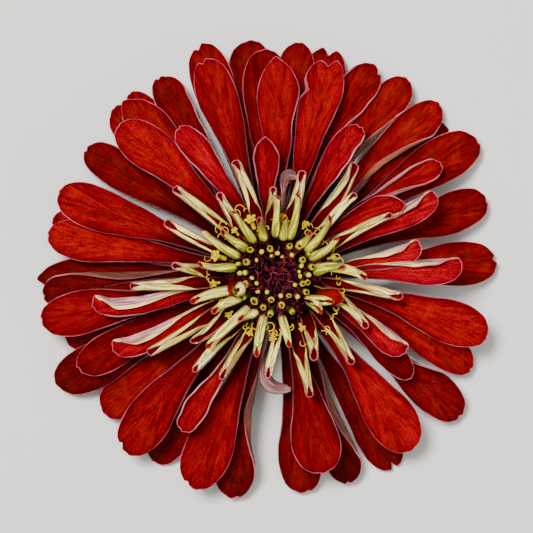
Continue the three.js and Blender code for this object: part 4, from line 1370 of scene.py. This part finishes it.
def coil_points(foot, azimuth, size, sweep, lean):
    """One arm of a style: up from its foot, then round in an open arc that leans off the level."""
    start = polar(azimuth, 1, 0)
    aside = polar(azimuth + math.copysign(90, sweep), math.cos(lean), 0) + Vector((0, 0, math.sin(lean)))
    points = []
    for i in range(COIL_POINTS):
        t = i / (COIL_POINTS - 1)
        angle = abs(sweep) * t
        radius = size * (1 - 0.25 * t)
        place = start * (radius * math.sin(angle)) + aside * (radius * (1 - math.cos(angle)))
        points.append(world(foot + place + Vector((0, 0, 0.5 * t - 0.4 * (1 - t) ** 3))))
    return points


class ZINNIA_OT_yellow_florets(bpy.types.Operator):
    """Add the yellow star florets on their tubes, and the curled yellow threads among the rays"""

    bl_idname = "zinnia.yellow_florets"
    bl_label = "Yellow florets"

    def execute(self, context):
        yellow = chosen("yellow")
        material = grown_material("floret yellow", yellow, shade(yellow, 0.86), (0.60, 0.36, 0.0),
                                  900, 0.5, Specular_IOR_Level=0.2)
        stars = settled(joined(self.stars(), "yellow_star_florets"), [material])
        finish_piece(stars, ["yellow_florets"])
        threads = [self.curled_thread(i) for i in range(context.scene.zinnia_sizes.threads)]
        piece = settled(joined(threads, "yellow_threads"), [material])
        finish_piece(piece, [])
        return {"FINISHED"}

    def stars(self):
        model = star_floret_model()
        stars = []
        for i, (azimuth, distance, height, radius) in enumerate(FLORETS):
            top = polar(azimuth, distance, height)
            axis = (top - polar(azimuth, *FLORET_ROOT)).normalized()
            turn = Vector((0, 0, 1)).rotation_difference(axis)
            spin = Quaternion((0, 0, 1), math.radians(40 * i))
            size = radius * MM * (1.0 if radius > LARGE_STAR else SMALL_STARS)
            stars.append(copy_at(model, top, turn @ spin, (size, size, size)))
        remove(model)
        return stars

    def curled_thread(self, i):
        azimuth = i * GOLDEN_ANGLE
        distance = THREAD_RING + THREAD_BREADTH * spread(i * 2 + 1)
        height = THREAD_HEIGHT - 0.35 * (distance - THREAD_RING) + 0.9 * spread(i * 11)
        foot = polar(azimuth, distance, height)
        size = 0.5 + 0.6 * spread(i * 3)
        sweep = math.radians(110 + 150 * spread(i * 5 + 1)) * (1 if i % 2 else -1)
        lean = math.radians(80 * (spread(i * 13 + 3) - 0.5))
        arm = coil_points(foot, azimuth + 200 * (spread(i * 7) - 0.5), size, sweep, lean)
        return thread(arm, THREAD_RADIUS * MM)


def bud_model(profile, sides=16):
    """One disc bud of unit radius and height, with a mouth in its top."""
    bpy.ops.mesh.primitive_cylinder_add(vertices=sides, radius=1, depth=0.1)
    bud = bpy.context.object
    for face in bud.data.polygons:
        face.select = face.normal.z > 0.9
    bpy.ops.object.mode_set(mode="EDIT")
    bpy.ops.mesh.select_mode(type="FACE")
    for _ in profile[2:]:
        bpy.ops.mesh.extrude_region_move(TRANSFORM_OT_translate={"value": (0, 0, 0.1)})
    bpy.ops.object.mode_set(mode="OBJECT")
    values = np.zeros((len(bud.data.vertices), 3))
    for vertex in bud.data.vertices:
        place = round(vertex.co.z / 0.1 + 0.5)
        radius, height = profile[place]
        turn = math.atan2(vertex.co.y, vertex.co.x)
        lobe = 1 + 0.04 * math.cos(5 * turn) * (height > 0.3)
        vertex.co = (radius * lobe * math.cos(turn), radius * lobe * math.sin(turn), height)
        values[vertex.index] = (height, place >= len(profile) - MOUTH_POINTS, 0)
    write_values(bud.data, "bud", values)
    return bud


class ZINNIA_OT_bud_ring(bpy.types.Operator):
    """Add the ring of pale young buds"""

    bl_idname = "zinnia.bud_ring"
    bl_label = "Bud ring"

    def execute(self, context):
        models = [bud_model(KNOB_PROFILE), bud_model(OPEN_BUD_PROFILE)]
        buds = [self.bud(models, i, *place) for i, place in enumerate(BUD_PLACES)]
        for model in models:
            remove(model)
        piece = settled(joined(buds, "disc_buds"), [self.bud_material()])
        finish_piece(piece, ["bud_ring"])
        return {"FINISHED"}

    def bud(self, models, i, x, y, radius):
        """A copy of one of the models, leaning outwards the more the nearer it is to the ring's rim."""
        radius = radius * BUD_SWELLING
        distance, azimuth = math.hypot(x, y), math.degrees(math.atan2(y, x))
        share = smooth_step(distance, *BUD_RING)
        lowest, highest = BUD_HEIGHTS
        height = lowest + (highest - lowest) * share * (0.6 + 0.4 * spread(i * 5))
        foot = polar(azimuth, distance, floor_height(distance) + 0.1)
        aside = 50 * (spread(i * 3 + 2) - 0.5)
        lean = math.radians(8 + 46 * spread(i * 7 + 2) * share)
        turn = Quaternion(polar(azimuth + 90 + aside, 1, 0), lean) @ Quaternion((0, 0, 1), i)
        narrow = radius * MM * (0.78 + 0.22 * spread(i * 17))
        copy = copy_at(models[radius > OPEN_BUD_FROM], foot, turn, (radius * MM, narrow, height * MM))
        for value in copy.data.attributes["bud"].data:
            value.vector.z = spread(i)
        return copy

    def bud_material(self):
        material, tree, shader = new_material("bud pale green", 0.6, Specular_IOR_Level=0.2)
        height, mouth, tone = three_parts(tree, stored(tree, "bud"))
        fresh = mix(tree, tone, (0.84, 0.82, 0.14), (0.92, 0.84, 0.26))
        # Painted shade: lower down a bud darkens to olive, on its sides and foot.
        colour = mix(tree, ramp(tree, height, 1.0, 0.45), fresh, (0.30, 0.25, 0.03))
        flushed = mix(tree, tone, (0.30, 0.08, 0.02), (0.58, 0.24, 0.04))
        colour = mix(tree, ramp(tree, mouth, 0.2, 0.8), colour, flushed)
        specks = noise(tree, object_places(tree), 3500, 2.0)
        speckled = times(tree, ramp(tree, specks, 0.5, 0.75), 0.25)
        colour = mix(tree, speckled, colour, shade(chosen("pale_green"), 0.6))
        finish_material(tree, shader, colour, specks, 0.4, 0.00005)
        return material


def dome_height(distance):
    return DISC_FLOOR + DOME_HEIGHT * (1 - 0.5 * (distance / DOME_RADIUS) ** 2)


def floor_height(distance):
    """The disc's ground: a dome in the middle, then a gentle fall under the buds to the quills."""
    if distance < DOME_RADIUS:
        return dome_height(distance) - GROUND_DEPTH
    return dome_height(DOME_RADIUS) - GROUND_DEPTH - GROUND_FALL * (distance - DOME_RADIUS)


def shred_model(bend, twist):
    """One thin shred of chaff of unit length, bent in an arc by that many radians."""
    bpy.ops.mesh.primitive_grid_add(x_subdivisions=1, y_subdivisions=7, size=2)
    shred = bpy.context.object
    values = np.zeros((len(shred.data.vertices), 3))
    for vertex in shred.data.vertices:
        t = (vertex.co.y + 1) / 2
        across = vertex.co.x * SHRED_HALF_BREADTH * (1 - 0.6 * t)
        turn = twist * t
        angle = bend * t
        vertex.co = (
            across * math.cos(turn) + (1 - math.cos(angle)) / bend,
            across * math.sin(turn) + 0.06 * math.sin(7 * t),
            math.sin(angle) / bend,
        )
        values[vertex.index] = (t, 0, 0)
    write_values(shred.data, "shred", values)
    apply_modifier(shred, "SOLIDIFY", thickness=SHRED_THICKNESS, offset=0.0)
    return shred


class ZINNIA_OT_chaff(bpy.types.Operator):
    """Add the dark chaffy middle of the disc with its thin curled shreds"""

    bl_idname = "zinnia.chaff"
    bl_label = "Chaff"

    def execute(self, context):
        maroon = chosen("maroon")
        ground = grown_material("chaff ground", shade(maroon, 0.3), shade(maroon, 0.14),
                                (0.02, 0.0, 0.005), 700, 1.0, Specular_IOR_Level=0.0)
        finish_piece(self.ground_piece(ground), ["chaff_dome"])
        shreds = self.shreds(context.scene.zinnia_sizes.shreds)
        piece = settled(joined(shreds, "chaff_shreds"), [self.shred_material(maroon)])
        finish_piece(piece, [])
        return {"FINISHED"}

    def shred_material(self, maroon):
        material, tree, shader = new_material("chaff shred", 0.5, Specular_IOR_Level=0.12)
        along = three_parts(tree, stored(tree, "shred"))[0]
        patch = noise(tree, object_places(tree), 900, 2.0, 0.6)
        wander = scaled(tree, patch, 1.6, math_node(tree, "ADD", along, -0.8))
        colour = mix(tree, ramp(tree, wander, 0.0, 0.55), shade(maroon, 0.35), maroon)
        colour = mix(tree, ramp(tree, wander, 0.5, 1.0), colour, (0.52, 0.13, 0.20))
        finish_material(tree, shader, colour, patch, 0.4, 0.00005)
        return material

    def ground_piece(self, material):
        def place(turn, share):
            distance = GROUND_RADIUS * share
            lumps = 0.22 * math.sin(distance * 5.1) * math.sin(turn * 17 + distance * 2)
            height = floor_height(distance) + lumps * min(1, distance / 2)
            return world((distance * math.cos(turn), distance * math.sin(turn), height))

        dome = turned_grid(96, 30, place)
        apply_modifier(dome, "WELD", merge_threshold=0.00002)
        in_edit_mode(dome, bpy.ops.mesh.normals_make_consistent)
        if dome.data.polygons[len(dome.data.polygons) // 2].normal.z < 0:
            dome.data.flip_normals()
        apply_modifier(dome, "SOLIDIFY", thickness=GROUND_THICKNESS * MM, offset=-1.0)
        return settled(joined([dome], "disc_ground"), [material])

    def shreds(self, count):
        models = [shred_model(0.7 + 0.45 * i, 0.5 * i - 1.0) for i in range(5)]
        shreds = []
        for i in range(count):
            distance = GROUND_RADIUS * math.sqrt((i + 0.5) / count)
            inner = distance < LONG_SHREDS_WITHIN
            shortest, more = SHRED_LENGTHS[inner]
            size = (shortest + more * spread(i * 3 + inner)) * MM
            turn = Quaternion((0, 0, 1), FULL_TURN * spread(i * 7 + 2))
            lean = Quaternion(polar(360 * spread(i * 13 + 5), 1, 0), math.radians(35 + 55 * spread(i * 5)))
            foot = polar(i * GOLDEN_ANGLE, distance, floor_height(distance) - 0.1)
            shreds.append(copy_at(models[i % len(models)], foot, lean @ turn, (size, size, size)))
        for model in models:
            remove(model)
        return shreds


# ---- Under the head ----


def cup_radius(height):
    radii, heights = zip(*CUP_PROFILE)
    return float(np.interp(height, heights, radii))


class ZINNIA_OT_bracts(bpy.types.Operator):
    """Add the green cup of overlapping bracts with dark fringed margins"""

    bl_idname = "zinnia.bracts"
    bl_label = "Bract cup"

    def execute(self, context):
        green = chosen("green")
        bracts = []
        for row, (count, foot, tip, stand_off) in enumerate(BRACT_ROWS):
            for i in range(count):
                azimuth = 360 * (i + 0.5 * row + 0.2 * spread(i + 1)) / count
                bracts.append(self.bract(azimuth, foot, tip, stand_off, i + 10 * row))
        piece = joined(bracts, "bract_scales")
        apply_modifier(piece, "SOLIDIFY", thickness=BRACT_THICKNESS * MM, offset=-1.0)
        piece = settled(piece, [self.bract_material(green)])
        wall = grown_material("cup green", shade(green, 0.7), shade(green, 0.5), (0.10, 0.12, 0.05), 600, 0.6)
        cup = settled(lathe_piece("cup_wall", CUP_WALL, 48, closed=True), [wall])
        finish_piece(piece, ["bract_cup"])
        finish_piece(cup, [])
        return {"FINISHED"}

    def bract(self, azimuth, foot, tip, stand_off, place):
        across, stations = BRACT_GRID
        s = np.linspace(0, 1, stations)
        heights = foot + (tip - foot) * s
        radii = np.array([cup_radius(h) for h in heights]) - 0.15 + stand_off * s * s
        half = BRACT_WIDTH / 2 * np.interp(s, [0, 0.6, 0.85, 1], [0.8, 0.98, 0.78, 0.1])
        half = half * (1 + 0.03 * np.sin(40 * s + place))
        grid = blade_grid("bract", across, stations)
        u = np.linspace(-1, 1, across + 1)
        places = np.zeros((stations, across + 1, 3))
        petal = np.zeros_like(places)
        for i in range(stations):
            fringe = 0.12 * s[i] * np.sin(47 * u + 3 * place) * (np.abs(u) > 0.5)
            radius = radii[i] - 0.02 * (half[i] * u) ** 2
            turn = math.radians(azimuth) + half[i] * u / radii[i]
            points = [radius * np.cos(turn), radius * np.sin(turn), heights[i] + fringe]
            places[i] = np.stack(points, axis=1)
            edge = np.minimum(half[i] * (1 - np.abs(u)), (1 - s[i]) * (tip - foot))
            petal[i] = np.stack([edge, 0 * u + s[i], 0 * u + spread(place)], axis=1)
        place_vertices(grid, places)
        write_values(grid.data, "petal", petal)
        return grid

    def bract_material(self, green):
        material, tree, shader = new_material("bract green", 0.55, Specular_IOR_Level=0.4)
        edge, along, tone = three_parts(tree, stored(tree, "petal"))
        places = object_places(tree)
        patch = noise(tree, places, 500, 3.0)
        hairs = noise(tree, places, 4000, 2.0, 0.7)
        colour = mix(tree, ramp(tree, patch, 0.35, 0.65), green, shade(green, 0.72))
        colour = mix(tree, times(tree, tone, 0.3), colour, (0.55, 0.60, 0.30))
        ragged = math_node(tree, "ADD", edge, scaled(tree, hairs, 1.3, -0.65))
        band = times(tree, ramp(tree, ragged, 0.75, 0.35), ramp(tree, along, 0.35, 0.7))
        colour = mix(tree, band, colour, (0.16, 0.08, 0.06))
        finish_material(tree, shader, colour, hairs, 0.5, 0.0001)
        return material


def lathe_piece(name, profile, sides, closed=False):
    """A ring or a solid turned about the disc's axis from distance and height points."""
    rows = len(profile) if closed else len(profile) - 1

    def place(turn, share):
        distance, height = profile[round(share * rows) % len(profile)]
        return world((distance * math.cos(turn), distance * math.sin(turn), height))

    piece = turned_grid(sides, rows, place)
    piece.name = name
    apply_modifier(piece, "WELD", merge_threshold=0.00001)
    in_edit_mode(piece, bpy.ops.mesh.normals_make_consistent)
    return piece


class ZINNIA_OT_floret_bases(bpy.types.Operator):
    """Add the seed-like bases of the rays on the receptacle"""

    bl_idname = "zinnia.floret_bases"
    bl_label = "Floret bases"

    def execute(self, context):
        material = grown_material("floret base", (0.56, 0.50, 0.30), (0.40, 0.22, 0.18),
                                  (0.20, 0.08, 0.07), 900, 0.6)
        bpy.ops.mesh.primitive_cube_add(size=2)
        model = bpy.context.object
        apply_modifier(model, "SUBSURF", levels=2, render_levels=2)
        for vertex in model.data.vertices:
            out = (vertex.co.x + 1) / 2
            vertex.co.y *= 0.65 + 0.5 * out
            vertex.co.z += 0.3 * vertex.co.y**2
        bases = []
        for row, (bottom, top, radius) in enumerate(COLLARS):
            count = int(2 * math.pi * (radius - 1) / BASES_APART)
            for i in range(count):
                azimuth = 360 * (i + 0.5 * row) / count
                middle = polar(azimuth, (radius + CONE_RADIUS) / 2 - 0.1, (bottom + top) / 2)
                turn = Quaternion((0, 0, 1), math.radians(azimuth))
                length, height = (radius - CONE_RADIUS) / 2 * MM, (top - bottom) / 2 * MM * 1.05
                bases.append(copy_at(model, middle, turn, (length, BASE_HALF_BREADTH * MM, height)))
        remove(model)
        piece = settled(joined(bases, "floret_bases"), [material])
        finish_piece(piece, [])
        return {"FINISHED"}


class ZINNIA_OT_stalk(bpy.types.Operator):
    """Add the cut stub of the stem and the receptacle above it"""

    bl_idname = "zinnia.stalk"
    bl_label = "Stub"

    def execute(self, context):
        green = chosen("green")
        skin = grown_material("stub green", green, shade(green, 0.75), (0.62, 0.66, 0.40), 900, 0.5)
        pith = grown_material("stub pith", (0.80, 0.82, 0.58), (0.66, 0.72, 0.44), (0.42, 0.46, 0.24),
                              1500, 0.7)
        piece = lathe_piece("stub_and_receptacle", STUB_PROFILE, 60)
        for vertex in piece.data.vertices:
            local = vertex.co / MM - Vector((HEAD.x, HEAD.y, 0))
            if 0.1 < local.z < STUB_TOP and math.hypot(local.x, local.y) > 2:
                turn = math.atan2(local.y, local.x)
                share = 1 + 0.02 * math.cos(STUB_RIBS * turn) * smooth_step(local.z, 0.05, 0.5)
                vertex.co = world((local.x * share, local.y * share, local.z))
        piece = settled(piece, [skin, pith])
        for face in piece.data.polygons:
            face.material_index = 1 if face.normal.z < -0.8 and face.center.z < 0.3 * MM else 0
        finish_piece(piece, ["stalk"])
        return {"FINISHED"}


# ---- The stage ----


class ZINNIA_OT_stage(bpy.types.Operator):
    """Add the pale floor, the soft studio lights and the camera above the head"""

    bl_idname = "zinnia.stage"
    bl_label = "Stage"

    def execute(self, context):
        self.add_floor(chosen("floor"))
        for name, (place, size, power) in LIGHTS.items():
            self.add_light(name, place, size, power)
        self.add_world(context.scene)
        self.add_camera(context.scene)
        return {"FINISHED"}

    def add_floor(self, colour):
        bpy.ops.mesh.primitive_plane_add(size=3, location=(0, 0, -0.0001))
        floor = bpy.context.object
        floor.name = "floor"
        material, tree, shader = new_material("pale floor", 0.8)
        patch = noise(tree, object_places(tree), 9, 3.0)
        tree.links.new(mix(tree, patch, colour, shade(colour, 0.96)), shader.inputs["Base Color"])
        floor.data.materials.append(material)

    def add_light(self, name, place, size, power):
        bpy.ops.object.light_add(type="AREA", location=place)
        light = bpy.context.object
        light.name = name
        light.data.shape = "DISK"
        light.data.size = size
        light.data.energy = power
        light.rotation_mode = "QUATERNION"
        light.rotation_quaternion = (-Vector(place)).to_track_quat("-Z", "Y")

    def add_world(self, scene):
        scene.world = bpy.data.worlds.new("studio")
        scene.world.use_nodes = True
        background = scene.world.node_tree.nodes["Background"]
        background.inputs["Color"].default_value = (1.0, 1.0, 1.0, 1.0)
        background.inputs["Strength"].default_value = AMBIENT

    def add_camera(self, scene):
        height = scene.zinnia_sizes.camera_height
        bpy.ops.object.camera_add(location=(*VIEW_MIDDLE, height), rotation=(0, 0, 0))
        camera = bpy.context.object
        camera.data.sensor_width = SENSOR
        camera.data.lens = SENSOR * height / VIEW_WIDTH
        camera.data.clip_start = 0.01
        camera.data.clip_end = 10
        scene.camera = camera


# ---- The panel ----

OPERATORS = (
    ZINNIA_OT_stage,
    ZINNIA_OT_stalk,
    ZINNIA_OT_bracts,
    ZINNIA_OT_floret_bases,
    ZINNIA_OT_outer_rays,
    ZINNIA_OT_middle_rays,
    ZINNIA_OT_folded_rays,
    ZINNIA_OT_rolled_rays,
    ZINNIA_OT_yellow_florets,
    ZINNIA_OT_quill_rays,
    ZINNIA_OT_bud_ring,
    ZINNIA_OT_chaff,
)


class ZINNIA_PT_panel(bpy.types.Panel):
    """Lists the flower's pieces and their settings"""

    bl_idname = "ZINNIA_PT_panel"
    bl_label = "Zinnia flower head"
    bl_space_type = "VIEW_3D"
    bl_region_type = "UI"
    bl_category = "Zinnia"

    def draw(self, context):
        layout = self.layout
        for settings in (context.scene.zinnia_sizes, context.scene.zinnia_colours):
            column = layout.column(align=True)
            for name in settings.__annotations__:
                column.prop(settings, name)
        for operator in OPERATORS:
            layout.operator(operator.bl_idname)


CLASSES = (ZinniaSizes, ZinniaColours, *OPERATORS, ZINNIA_PT_panel)


def register():
    for item in CLASSES:
        bpy.utils.register_class(item)
    bpy.types.Scene.zinnia_sizes = PointerProperty(type=ZinniaSizes)
    bpy.types.Scene.zinnia_colours = PointerProperty(type=ZinniaColours)


def unregister():
    del bpy.types.Scene.zinnia_colours
    del bpy.types.Scene.zinnia_sizes
    for item in reversed(CLASSES):
        bpy.utils.unregister_class(item)


def main():
    register()
    for operator in OPERATORS:
        group, name = operator.bl_idname.split(".")
        clear_selection()
        getattr(getattr(bpy.ops, group), name)()


if __name__ == "__main__":
    main()
